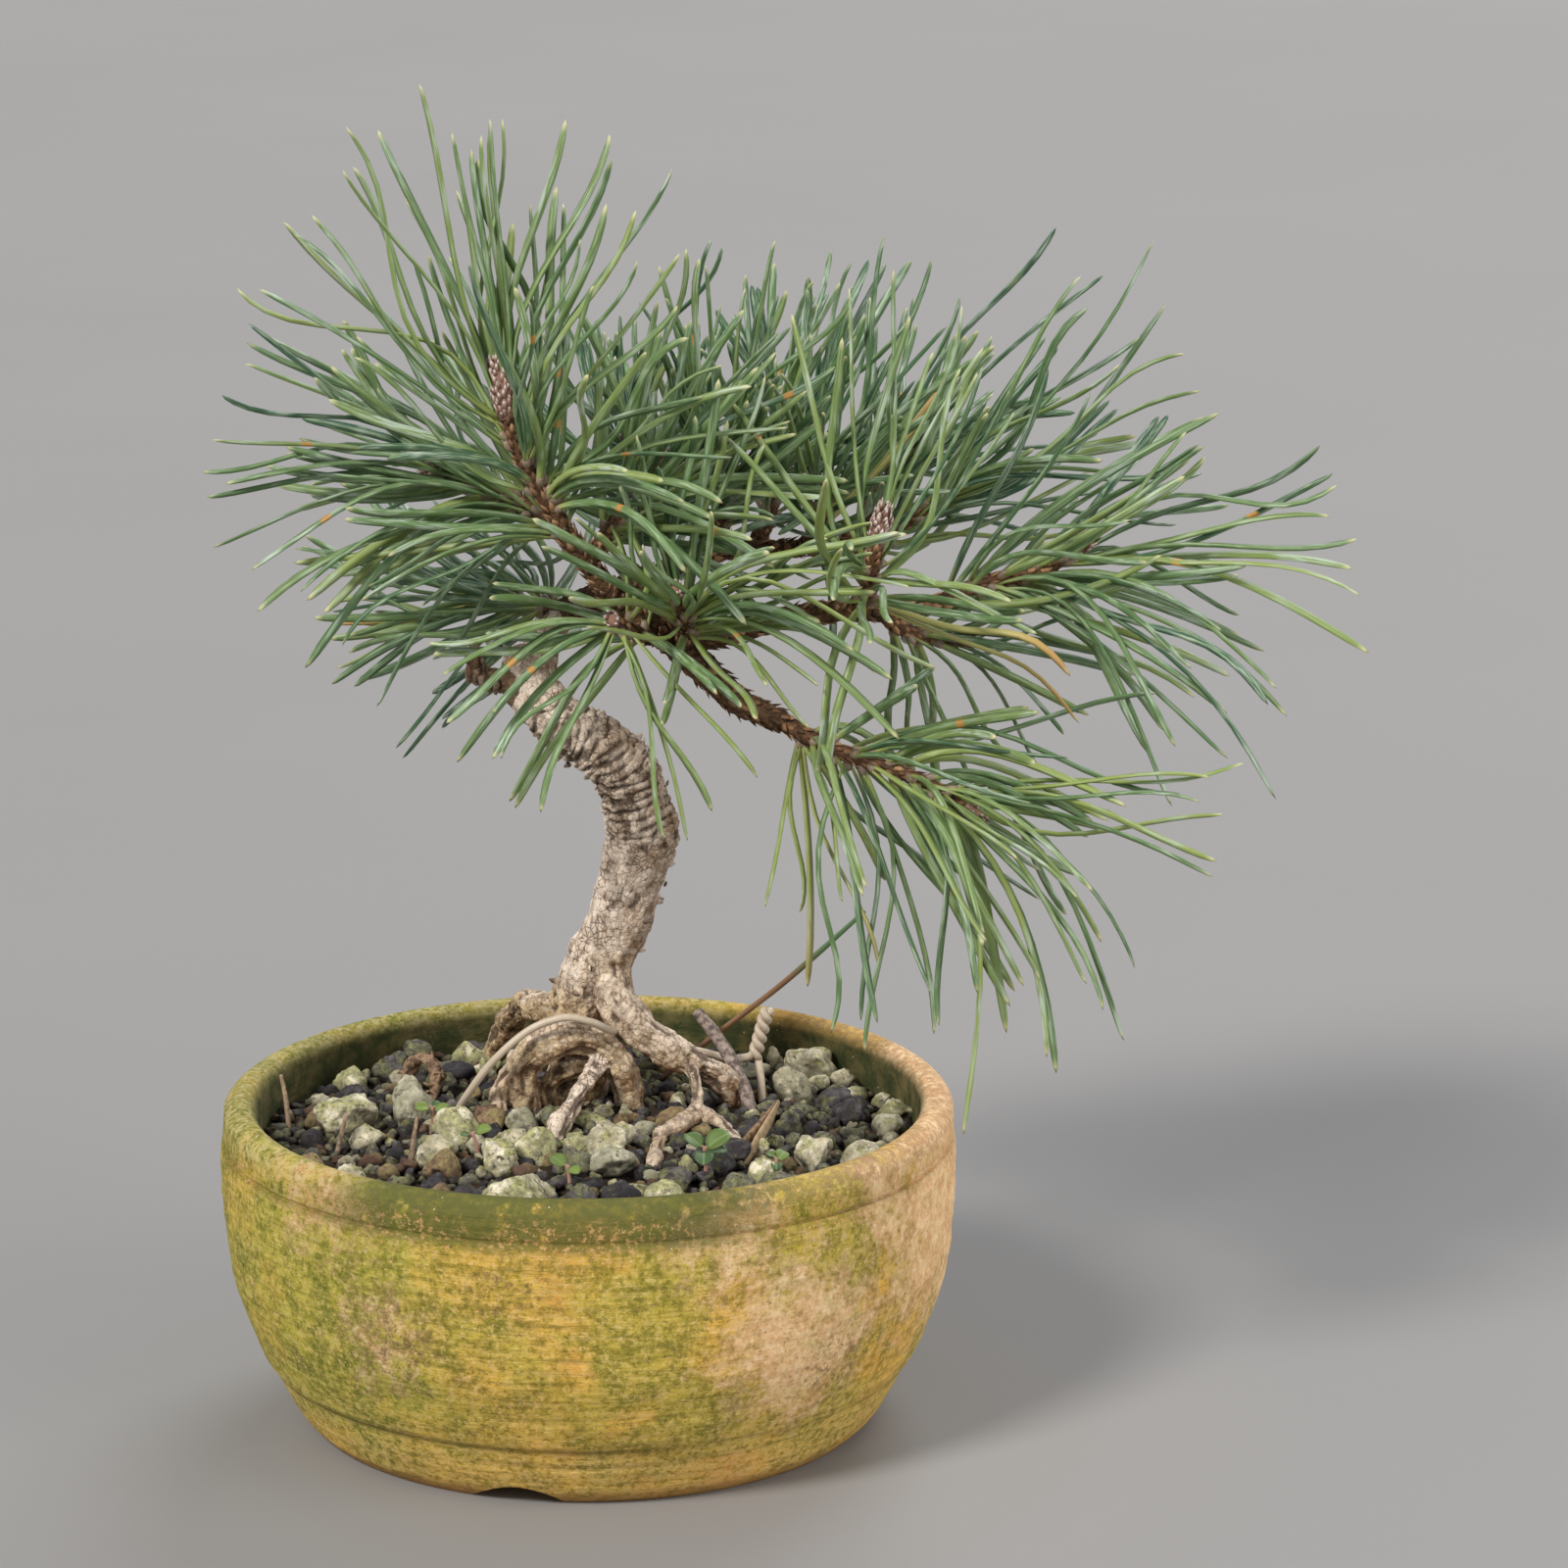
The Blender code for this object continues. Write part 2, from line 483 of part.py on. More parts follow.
def grow_pair(rng, line, frames, ring, side, shoot):
    """One fascicle: two needles that share a sheath, as lists of points."""
    points, length, spread, sag, lean = shoot
    last = len(line) - BUD_RINGS
    along = (ring - FIRST_RING) / max(1, last - FIRST_RING)
    tangent, across, up = frames[ring]
    turn = math.radians(side * 360 / SHOOT_SIDES + rng.uniform(-TURN_JITTER, TURN_JITTER))
    outward = across * math.cos(turn) + up * math.sin(turn)
    angle = spread[0] + (spread[1] - spread[0]) * along + rng.uniform(-SPREAD_JITTER, SPREAD_JITTER)
    angle = math.radians(angle)
    direction = unit(tangent * math.cos(angle) + outward * math.sin(angle) + np.array(lean))
    reach = length * rng.uniform(*NEEDLE_LENGTHS)
    sideways = unit(np.cross(tangent, outward))
    curl = sideways * rng.uniform(-0.06, 0.06) + tangent * rng.uniform(0.0, 0.10)
    bend = curl - np.array((0, 0, sag))
    half = math.radians(rng.uniform(*NEEDLE_OPENING))
    base = (line[ring, :3] + line[ring + 1, :3]) / 2 + outward * SHOOT_RADIUS * FASCICLE_DEPTH
    pair = []
    for sign in (-1, 1):
        heading = unit(direction * math.cos(half) + sideways * sign * math.sin(half))
        root = base + sideways * sign * FASCICLE_HALF_WIDTH
        pair.append(needle_line(root, heading, reach, bend + sideways * sign * 0.03))
    return pair


def is_clear(points, wood, space):
    """True where a needle, past its foot, keeps off wood, pot, floor and other needles."""
    far = points[NEEDLE_FREE_FROM:]
    over_pot = np.hypot(far[:, 0], far[:, 1]) < POT_KEEP_OUT[0]
    if (over_pot & (far[:, 2] < POT_KEEP_OUT[1])).any() or far[:, 2].min() < FLOOR_KEEP_OUT:
        return False
    distance = np.linalg.norm(far[:, None, :] - wood[None, :, :3], axis=2) - wood[None, :, 3]
    return distance.min() > NEEDLE_WOOD_GAP and space.is_free(points[1:])


def plan_needles():
    """Every shoot's leafy centre line and its fascicles, grown in a fixed order."""
    lines = {name: split_shoot(shoot[0])[1] for name, shoot in SHOOTS.items()}
    solid = [smooth_line(points, 2.0) for points in LIMBS.values()]
    solid += [smooth_line(points, 2.0) for points in ROOTS.values()]
    solid += [smooth_line(points, 2.0) for points in LITTER.values()]
    solid += [np.column_stack([line[:, :3], np.full(len(line), 2.0)]) for line in lines.values()]
    wood = np.vstack(solid)
    space = TakenSpace(NEEDLE_GAP)
    plan = {}
    for number, (name, shoot) in enumerate(SHOOTS.items()):
        rng = random.Random(100 + number)
        line = lines[name]
        frames = frames_along(line)
        grown = []
        for ring in range(len(line) - BUD_RINGS, FIRST_RING - 1, -1):
            for side in (ring % 3, ring % 3 + 3):
                for _attempt in range(NEEDLE_ATTEMPTS):
                    pair = grow_pair(rng, line, frames, ring, side, shoot)
                    if all(is_clear(points, wood, space) for points in pair):
                        space.take(pair[0])
                        space.take(pair[1])
                        grown.append((ring, side, pair))
                        break
        plan[name] = (line, frames, grown)
    return plan


def ring_matrix(centre, frame, radius):
    """Places and scales a unit ring so that it stands across the stem."""
    tangent, across, up = frame
    turn = Matrix((across, up, tangent)).transposed().to_4x4()
    return Matrix.Translation(Vector(centre[:3]) * MM) @ turn @ Matrix.Scale(radius * MM, 4)


def extrude_face(bm, face):
    return bmesh.ops.extrude_discrete_faces(bm, faces=[face])["faces"][0]


def move_face(face, matrix):
    for vert in face.verts:
        vert.co = matrix @ vert.co


def stem_radius(ring, rings):
    """The stem is even, then swells into an egg-shaped bud that closes at the tip."""
    from_tip = rings - 1 - ring
    if from_tip < len(BUD_RADII):
        return BUD_RADII[-1 - from_tip]
    return SHOOT_RADIUS


def grow_needle(bm, face, points):
    """Extrude one face of the stem along a needle, to a point."""
    for at, radius in ((NEEDLE_STEPS, NEEDLE_RADIUS), (2 * NEEDLE_STEPS, 0.0)):
        spot = Vector(points[at]) * MM
        heading = Vector(points[at] - points[at - 1]).normalized()
        centre = face.calc_center_median()
        face = extrude_face(bm, face)
        for vert in face.verts:
            offset = vert.co - centre
            offset -= heading * offset.dot(heading)
            vert.co = spot + offset.normalized() * radius * MM
    bmesh.ops.pointmerge(bm, verts=list(face.verts), merge_co=spot)


def make_shoot(name, line, frames, grown):
    """A leafy stem with its bud, and needles in pairs grown out of its sides."""
    bm = bmesh.new()
    rings = len(line)
    places = [ring_matrix(line[ring], frames[ring], stem_radius(ring, rings)) for ring in range(rings)]
    half_side = Matrix.Rotation(math.radians(-180 / SHOOT_SIDES), 4, "Z")
    bmesh.ops.create_circle(bm, cap_ends=True, segments=SHOOT_SIDES, radius=1.0, matrix=half_side)
    tip = bm.faces[:][0]
    move_face(tip, places[0])
    for ring in range(1, rings):
        if ring == 1:
            tip = extrude_face(bm, bmesh.ops.duplicate(bm, geom=[tip])["geom"][-1])
        else:
            tip = extrude_face(bm, tip)
        move_face(tip, places[ring] @ places[ring - 1].inverted())
    bmesh.ops.remove_doubles(bm, verts=bm.verts, dist=0.001 * MM)
    bmesh.ops.recalc_face_normals(bm, faces=bm.faces)
    for ring, side, pair in grown:
        tangent, across, up = frames[ring]
        turn = math.tau * side / SHOOT_SIDES
        outward = across * math.cos(turn) + up * math.sin(turn)
        sideways = Vector(np.cross(tangent, outward))
        middle = Vector((line[ring, :3] + line[ring + 1, :3]) / 2 + outward * SHOOT_RADIUS) * MM
        quads = [face for face in bm.faces if len(face.verts) == 4]
        seat = min(quads, key=lambda face: (face.calc_center_median() - middle).length)
        quarters = bmesh.ops.poke(bm, faces=[seat])["faces"]
        quarters.sort(key=lambda face: face.calc_center_median().dot(sideways))
        grow_needle(bm, quarters[0], pair[0])
        grow_needle(bm, quarters[-1], pair[1])
    mesh = bpy.data.meshes.new("shoot_" + name)
    bm.to_mesh(mesh)
    bm.free()
    add_piece("shoot_" + name, mesh, "needle")


# ---------------------------------------------------------------- on the soil

def soil_height(x, y):
    drop = SOIL_CENTRE_HEIGHT - SOIL_SHOULDER_HEIGHT
    slope = drop / (SOIL_SHOULDER_RADIUS - SOIL_CENTRE_RADIUS)
    return SOIL_CENTRE_HEIGHT - max(0.0, math.hypot(x, y) - SOIL_CENTRE_RADIUS) * slope


def stone_mesh(name, number, grow=0.0):
    """A chip of stone: a ball with jittered corners, a third of it in the soil."""
    x, y, width, depth, height, _kind = STONES[number]
    rng = random.Random(300 + number)
    bm = bmesh.new()
    level = 2 if max(width, height) > FINE_STONE else 1
    bmesh.ops.create_icosphere(bm, subdivisions=level, radius=1.0)
    tilt = Matrix.Rotation(rng.uniform(0, math.tau), 4, "Z")
    centre = Vector((x, y, soil_height(x, y) + height * STONE_LIFT))
    half = Vector((width, depth, height)) / 2
    for vert in bm.verts:
        shape = vert.co * rng.uniform(*STONE_ROUGHNESS)
        size = half + Vector((grow, grow, grow))
        vert.co = (centre + tilt @ Vector(a * b for a, b in zip(shape, size))) * MM
    mesh = bpy.data.meshes.new(name)
    bm.to_mesh(mesh)
    bm.free()
    return mesh


def wire_line():
    """Both ends twisted together, over the roots, and through the drain holes."""
    top = np.array(TWIST_TOP)
    foot = np.array(TWIST_FOOT)
    tangent = unit(foot - top)
    across = unit(np.cross(tangent, (0.0, 1.0, 0.0)))
    up = np.cross(tangent, across)
    steps = round(TWIST_STEPS * TWIST_TURNS)
    strands = ([], [])
    for step in range(steps + 1):
        angle = math.tau * TWIST_TURNS * (1 - step / steps)
        centre = top + (foot - top) * step / steps
        offset = TWIST_OFFSET * (across * math.cos(angle) + up * math.sin(angle))
        strands[0].append(centre + offset)
        strands[1].append(centre - offset)
    route = [(*point, WIRE_RADIUS) for point in WIRE_ROUTE]
    ends = [[(*point, WIRE_RADIUS) for point in strand] for strand in strands]
    bends = smooth_line([ends[1][-1], *route, ends[0][-1]], WIRE_STEP)
    return np.vstack([ends[1][:-1], bends, ends[0][-2::-1]])


def seedling_mesh(name, foot_x, foot_y, height, leaves, size):
    """A stalk with round leaves spread at its top, joined into one piece."""
    ground = soil_height(foot_x, foot_y)
    rng = random.Random(int(1000 + foot_x * 7 + foot_y))
    lean = rng.uniform(-1.0, 1.0)
    stalk = [(foot_x, foot_y, ground - SEEDLING_DEPTH, SEEDLING_RADIUS),
             (foot_x + lean, foot_y - 0.5, ground + height, SEEDLING_RADIUS)]
    piece = add_piece(name, tube_mesh(name, np.array(stalk), resolution=0), "seedling")
    start = rng.uniform(0, math.tau)
    for leaf in range(leaves):
        turn = start + math.tau * leaf / leaves + rng.uniform(-0.2, 0.2)
        outward = Vector((math.cos(turn), math.sin(turn), LEAF_RISE)) * size / 2
        top = ground + height - rng.uniform(*LEAF_DROP)
        centre = Vector((foot_x + lean, foot_y - 0.5, top)) + outward
        tilt = Matrix.Rotation(turn, 4, "Z") @ Matrix.Rotation(-LEAF_RISE, 4, "Y")
        scale = Matrix.Diagonal((size / 2 * 1.15, size / 2, LEAF_THICKNESS / 2, 1.0))
        bm = bmesh.new()
        place = Matrix.Translation(centre * MM) @ tilt @ scale @ Matrix.Scale(MM, 4)
        bmesh.ops.create_icosphere(bm, subdivisions=1, radius=1.0, matrix=place)
        mesh = bpy.data.meshes.new("leaf")
        bm.to_mesh(mesh)
        bm.free()
        apply_boolean(piece, add_cutter(f"{name}_leaf_{leaf}", mesh), "UNION")
    return tube_mesh("stalk_socket", np.array(stalk), grow=CLEARANCE, resolution=0)


# ---------------------------------------------------------------- build

for leftover in list(bpy.data.objects):
    bpy.data.objects.remove(leftover)

bonsai = new_collection("bonsai_pine")
cutters = new_collection("cutters")
materials = {name: make_material(name) for name in MATERIALS}

make_pot()
make_drain_mesh(1, DRAIN_Y)
make_drain_mesh(2, -DRAIN_Y)
make_wood()
for shoot_name, (centre_line, shoot_frames, fascicles) in plan_needles().items():
    make_shoot(shoot_name, centre_line, shoot_frames, fascicles)

sockets = []
trunk_foot = smooth_line(LIMBS["trunk"], WOOD_STEP)[:5]
sockets.append(("trunk", tube_mesh("trunk_socket", trunk_foot, grow=SOCKET_ROOM)))
for root_name, root_points in ROOTS.items():
    root_socket = tube_mesh("root_socket", smooth_line(root_points, WOOD_STEP), SOCKET_ROOM, 1)
    sockets.append(("root_" + root_name, root_socket))
for stone_number, stone in enumerate(STONES):
    stone_name = f"stone_{stone_number + 1:02d}"
    add_piece(stone_name, stone_mesh(stone_name, stone_number), stone[5])
    sockets.append((stone_name, stone_mesh("stone_socket", stone_number, SOCKET_ROOM)))
for litter_name, litter_points in LITTER.items():
    litter_line = smooth_line(litter_points, WOOD_STEP)
    add_piece(litter_name, tube_mesh(litter_name, litter_line, resolution=1), "litter")
    sockets.append((litter_name, tube_mesh("litter_socket", litter_line, SOCKET_ROOM, 1)))
for seedling_number, seedling in enumerate(SEEDLINGS, 1):
    seedling_name = f"seedling_{seedling_number}"
    sockets.append((seedling_name, seedling_mesh(seedling_name, *seedling)))

wire = wire_line()
add_piece("anchor_wire", tube_mesh("anchor_wire", wire, resolution=1), "wire")
low = np.flatnonzero(wire[:, 2] < SOIL_CENTRE_HEIGHT + 4)
buried = wire[low[0]:low[-1] + 1]
sockets.append(("wire", tube_mesh("wire_socket", buried, grow=SOCKET_ROOM, resolution=1)))
make_soil(sockets)
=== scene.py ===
"""The looks of a young two-needle pine kept as a bonsai in a round terracotta pot.

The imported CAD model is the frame.  The tables' centre lines follow those of its nodes, and come
closer to the photographed tree where a simple node can't.  They are in millimetres, as is all
geometry until MM scales it when a mesh is made.  Materials work in metres where they use a place.
The pot stands on Z = 0 with its axis on the origin, and its front faces -Y.
"""
import itertools
import math
import random

import bmesh
import bpy
import numpy as np
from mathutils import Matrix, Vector, kdtree


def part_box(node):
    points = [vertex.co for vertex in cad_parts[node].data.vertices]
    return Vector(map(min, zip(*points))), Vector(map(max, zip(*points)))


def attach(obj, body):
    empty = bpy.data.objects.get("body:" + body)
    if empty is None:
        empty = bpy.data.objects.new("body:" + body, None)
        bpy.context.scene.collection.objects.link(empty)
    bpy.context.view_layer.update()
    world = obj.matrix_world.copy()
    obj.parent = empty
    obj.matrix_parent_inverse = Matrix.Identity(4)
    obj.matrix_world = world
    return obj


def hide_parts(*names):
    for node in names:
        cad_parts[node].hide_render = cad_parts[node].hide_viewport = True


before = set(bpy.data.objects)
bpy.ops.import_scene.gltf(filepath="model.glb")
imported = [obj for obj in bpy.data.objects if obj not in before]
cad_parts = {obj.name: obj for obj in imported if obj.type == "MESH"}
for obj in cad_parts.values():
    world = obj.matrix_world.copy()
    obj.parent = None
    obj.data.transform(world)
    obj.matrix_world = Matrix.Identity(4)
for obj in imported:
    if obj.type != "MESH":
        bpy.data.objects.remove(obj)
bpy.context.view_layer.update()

MM = 0.001
GOLDEN_ANGLE = math.pi * (3 - math.sqrt(5))

# Pot
POT_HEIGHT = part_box("pot")[1][2] / MM
RIM_RADIUS = 75.0
LIP_RADIUS = 3.4
FLOOR = 9.0
OUTER_WALL = [(75.2, 60.4), (74.6, 59.3), (75.7, 58.2), (75.5, 46.0), (73.6, 31.0), (69.0, 17.8),
              (67.2, 14.4), (66.2, 13.2), (61.4, 4.2), (58.8, 1.2), (57.4, 0.0)]
INNER_WALL = [(50.0, FLOOR), (57.0, 13.0), (63.0, 24.0), (67.0, 38.0), (68.2, 52.0)]
CHANNEL_X = -13.0
CHANNEL_WIDTH = 18.5
CHANNEL_HEIGHT = 4.0
DRAIN_Y = 25.0
DRAIN_RADIUS = 5.0
POT_SIDES = 420
UPPER_LINE = 59.3          # heights of the two lines cut round the wall, and their half widths
LOWER_LINE = 13.8
UPPER_LINE_WIDTH = 0.8
LOWER_LINE_WIDTH = 0.7

# Places on the pot's wall, in metres: X, Y, Z, size, and for the bare clay how bare it is
BARE_PATCHES = [(0.045, -0.060, 0.034, 0.021, 0.9), (0.030, -0.068, 0.061, 0.014, 0.75),
                (-0.050, -0.055, 0.064, 0.016, 0.6), (-0.040, -0.064, 0.036, 0.014, 0.5)]
STAINS = [(-0.036, -0.066, 0.036, 0.012), (0.052, -0.054, 0.026, 0.010), (-0.014, -0.072, 0.050, 0.009)]

# Soil
SOIL_CENTRE_HEIGHT = 60.0
SOIL_SHOULDER_HEIGHT = 58.5
SOIL_CENTRE_RADIUS = 22.0
SOIL_SHOULDER_RADIUS = 50.0
SOIL_RADIUS = 67.9
SOIL_SIDES = 260
SOIL_GAP = 0.4             # to the pot's inner wall and floor

# Anchor wire
WIRE_RADIUS = 0.8
TWIST_TOP = (36.6, 25.0, 78.0)
TWIST_FOOT = (34.0, 25.4, 67.6)
TWIST_TURNS = 2.5
TWIST_OFFSET = 0.9
WIRE_ROUTE = [(29, 24.0, 67.7), (23, 21.4, 70.0), (18, 20.4, 71.2), (13, 19.8, 73.2), (8.7, 18.3, 75.4),
              (5.9, 13.0, 76.9), (3.4, 7.4, 79.2), (0.4, 5, 81.3), (-5, 4, 82.5), (-12, 4, 80),
              (-19, 4, 74), (-24.5, 6, 66.5), (-28, 10, 59), (-29, 12, 48), (-23, 17, 30),
              (-15, 23.5, 16), (-13, 25, 9), (-13, 24, 4.5), (-13, 20, 2.3), (-13, 0, 2.3),
              (-13, -20, 2.3), (-13, -24, 4.5), (-13, -25, 9), (-11, -24, 16), (8, -12, 30),
              (27, 6, 44), (35, 17, 55), (35.5, 22.5, 61.5)]

# Grown wood: centre line and radius
TRUNK = {
    "trunk": [(-3, 22, 50, 6), (-3, 22, 64, 6.6), (-2.5, 22, 79, 6.8), (0.5, 22, 87, 6.7), (4, 21, 94, 6.4),
              (7.3, 20, 103, 7.0), (9.2, 19, 112, 7.3), (10.6, 18, 120, 7.1), (8, 17, 131, 6.8),
              (2, 17, 137, 6.6), (-5, 18, 141, 6.2), (-10.5, 20, 145.5, 5.7), (-13.5, 21, 150.5, 4.9),
              (-14, 21, 155.5, 3.4)],
    "dead_end": [(-14, 21, 149, 2.4), (-19, 20, 150.5, 1.8), (-22.5, 18.5, 153, 1.3),
                 (-23.5, 17.5, 157.5, 0.9)],
}
BRANCHES = {
    "crook": [(-12, 22, 148, 5), (-9.5, 25, 156, 3.9), (-6, 28, 162, 3.5), (3, 26, 166, 3.3),
              (11, 18, 165, 3.3), (18, 8, 161, 3.4)],
    "leader": [(18, 8, 161, 3.2), (13, 0, 166, 2.9), (7, -4, 172, 2.6), (1, -6, 180, 2.4),
               (-3.5, -7.5, 187, 2.3)],
    "low_branch": [(18, 8, 161, 3.5), (24, 2, 156.5, 3.4), (31, -4, 151.5, 3.1), (40, -8, 148, 2.7)],
    "right_branch": [(18, 8, 161, 3.0), (30, 2, 164, 2.6), (38, 0, 167, 2.5), (46, -2, 169, 2.5),
                     (52, -4, 170, 2.4), (60, 0, 169, 2.2), (67, 4, 169, 2.1)],
    "back_branch": [(3, 26, 166, 3.0), (10, 36, 168, 2.5), (18, 44, 169, 2.3), (28, 50, 171, 2.2),
                    (40, 48, 172, 2.1), (52, 44, 173, 2.0)],
}
ROOTS = {
    "right": [(4, 20, 90, 4.0), (6, 15, 82, 4.0), (11, 12.5, 77.6, 3.5), (16, 12, 73.8, 3.2),
              (21.8, 12.5, 70.3, 3.0), (27, 14.5, 66.3, 3.1), (30.5, 17, 61, 2.9), (31, 20, 52, 2.4)],
    "drop": [(20, 12, 71, 2), (22, 8, 68, 1.7), (22, 4, 63.5, 1.6), (19, -4, 62, 1.5),
             (15, -9, 61.5, 1.4), (14, -22, 60.5, 1.2), (14, -30, 56, 1.0)],
    "side": [(22, 5, 63, 1.5), (25, 0, 62.5, 1.4), (30, -6, 60, 1.2), (33, -9, 55, 1.0)],
    "loop": [(-13, 12, 55, 2.9), (-14, 11, 69, 3.4), (-10, 9.5, 74.8, 3.6), (-3.7, 10, 76.4, 3.5),
             (2.6, 11.5, 73.8, 3.3), (6.5, 12.5, 68, 3.1), (8, 13, 62, 2.9), (9, 12, 54, 2.2)],
    "fold": [(-8, 16, 58, 2.2), (-9, 14, 65, 2.3), (-4, 12, 69.5, 2.2), (1, 15, 68, 2.2)],
    "pale": [(2, 13, 71, 2.2), (-0.5, 3, 69, 2.0), (-3, -3, 66, 1.8), (-6, -9, 62, 1.7),
             (-8, -13, 55, 1.4)],
    "back_left": [(-3, 22, 79, 4.8), (-10, 25, 78.6, 3.3), (-14, 33, 77, 2.8), (-17, 42, 72, 2.6),
                  (-21, 50, 64, 2.5), (-23, 55, 54, 2)],
    "hook": [(-13, 11, 71, 1.9), (-18, 12, 67, 1.6), (-19, 9, 62, 1.5), (-17, 7, 55, 1.3)],
    "back": [(3, 26, 78, 5.2), (9, 36, 71, 3.7), (14, 47, 63, 2.8), (16, 53, 53, 2.0)],
}
# The foot of the crook and a broken stub beside it, where the old wood meets the young
JOINTS = {
    "crook_foot": [(-12, 22, 148, 4.6), (-9.5, 25, 156, 3.5), (-6, 28, 162, 2.9)],
    "stub": [(-9.8, 23, 153, 3.2), (-9.8, 21, 157.5, 2.4), (-9.4, 20, 161, 1.9)],
}
# How brown each root is, from 0 to 1
ROOT_BROWN = {"right": 0.4, "drop": 0.5, "side": 0.4, "loop": 0.80, "fold": 1.0, "pale": 0.0,
              "back_left": 1.0, "hook": 0.7, "back": 0.9}

# Leafy shoots: centre line, needle length, spread from the stem at the foot and at the tip
# in degrees, sag at the needle's end as a share of its length, lean, and bud length
SHOOTS = {
    "apex": ([(-3.5, -7.5, 187), (-5.5, -8, 190.5), (-10, -9, 198), (-14, -10, 208), (-17, -8, 221)],
             52, (66, 20), -0.05, (0.02, 0, 0.34), 14),
    "left": ([(1, -6, 180), (-6, 2, 186), (-12, 9, 189), (-20, 16, 191), (-33, 22, 194)],
             48, (66, 28), 0.06, (-0.15, 0, 0.06), 7),
    "low_left": ([(-6, 28, 162), (-9, 38, 162), (-15, 48, 160), (-28, 56, 161)],
                 46, (62, 24), 0.10, (-0.25, 0, 0), 6),
    "leader_back": ([(1, -6, 180), (6, -3, 187), (12, 1, 194), (16, 5, 200)],
                    42, (66, 20), 0.02, (0.1, 0, 0), 6),
    "crown_left": ([(18, 44, 169), (13, 50, 178), (8, 56, 190), (7, 56, 197)],
                   42, (65, 20), 0.02, (0, 0, 0), 7),
    "crown_middle": ([(28, 50, 171), (27, 42, 180), (27, 34, 189), (28, 26, 198)],
                     42, (65, 20), 0.02, (0, 0, 0.1), 7),
    "crown_back": ([(34, 50, 171), (37, 56, 178), (40, 62, 186), (42, 66, 200)],
                   42, (65, 20), 0.02, (0, 0, 0.1), 6),
    "crown_right": ([(44, 48, 172), (47, 41, 177), (48, 36, 183), (49, 30, 190)],
                    46, (65, 20), 0.02, (0.1, 0, 0.1), 7),
    "right_back": ([(52, 44, 173), (60, 46, 174), (67, 46, 179), (78, 48, 187)],
                   50, (60, 20), 0.03, (0.15, 0, 0.15), 6),
    "right_top": ([(52, 44, 173), (57, 52, 177), (62, 60, 184), (69, 64, 193)],
                  46, (60, 20), 0.02, (0.05, 0, 0.15), 6),
    "front": ([(52, -4, 170), (54.5, -6, 171.5), (57, -10, 175), (58, -14, 183), (60, -16, 193)],
              50, (78, 26), 0.03, (0, 0, 0.05), 10),
    "right": ([(67, 4, 169), (74, 6, 170), (80, 8, 173), (92, 10, 175), (103, 12, 182)],
              50, (56, 24), 0.17, (0.25, 0, 0), 7),
    "low_right": ([(40, -8, 148), (48, -13, 144.5), (56, -16, 142), (68, -18, 138), (80, -20, 131)],
                  46, (64, 34), 0.40, (0.05, 0, 0.05), 7),
    "under": ([(60, 0, 169), (64, 5, 164.5), (70, 11, 161), (79, 16, 159.5)],
              42, (58, 24), 0.20, (0.1, 0, 0), 5),
    "fork_low": ([(15, 4, 163), (12, -5, 165), (9, -11, 168), (6, -16, 171)],
                 38, (88, 62), 0.25, (-0.22, 0.1, -0.22), 2),
    "fork_up": ([(20, 4, 162), (20.5, -4, 166), (20, -10, 171), (18.5, -15, 177)],
                44, (70, 24), 0.04, (0.22, 0.0, 0.05), 4),
}
SHOOT_RADIUS = 1.8
BARE_LENGTH = 6
OPEN_SHOOTS = ("apex", "front")      # with no needles in front of the bud
SPARSE_SHOOTS = ("right", "under", "low_right", "right_back", "right_top", "fork_low")

# The tuft in front of the trunk's bend parts to both sides of it
PARTED_SHOOT = "fork_low"
BEND_LEFT = -7
BEND_RIGHT = 20
BEND_TOP = 156

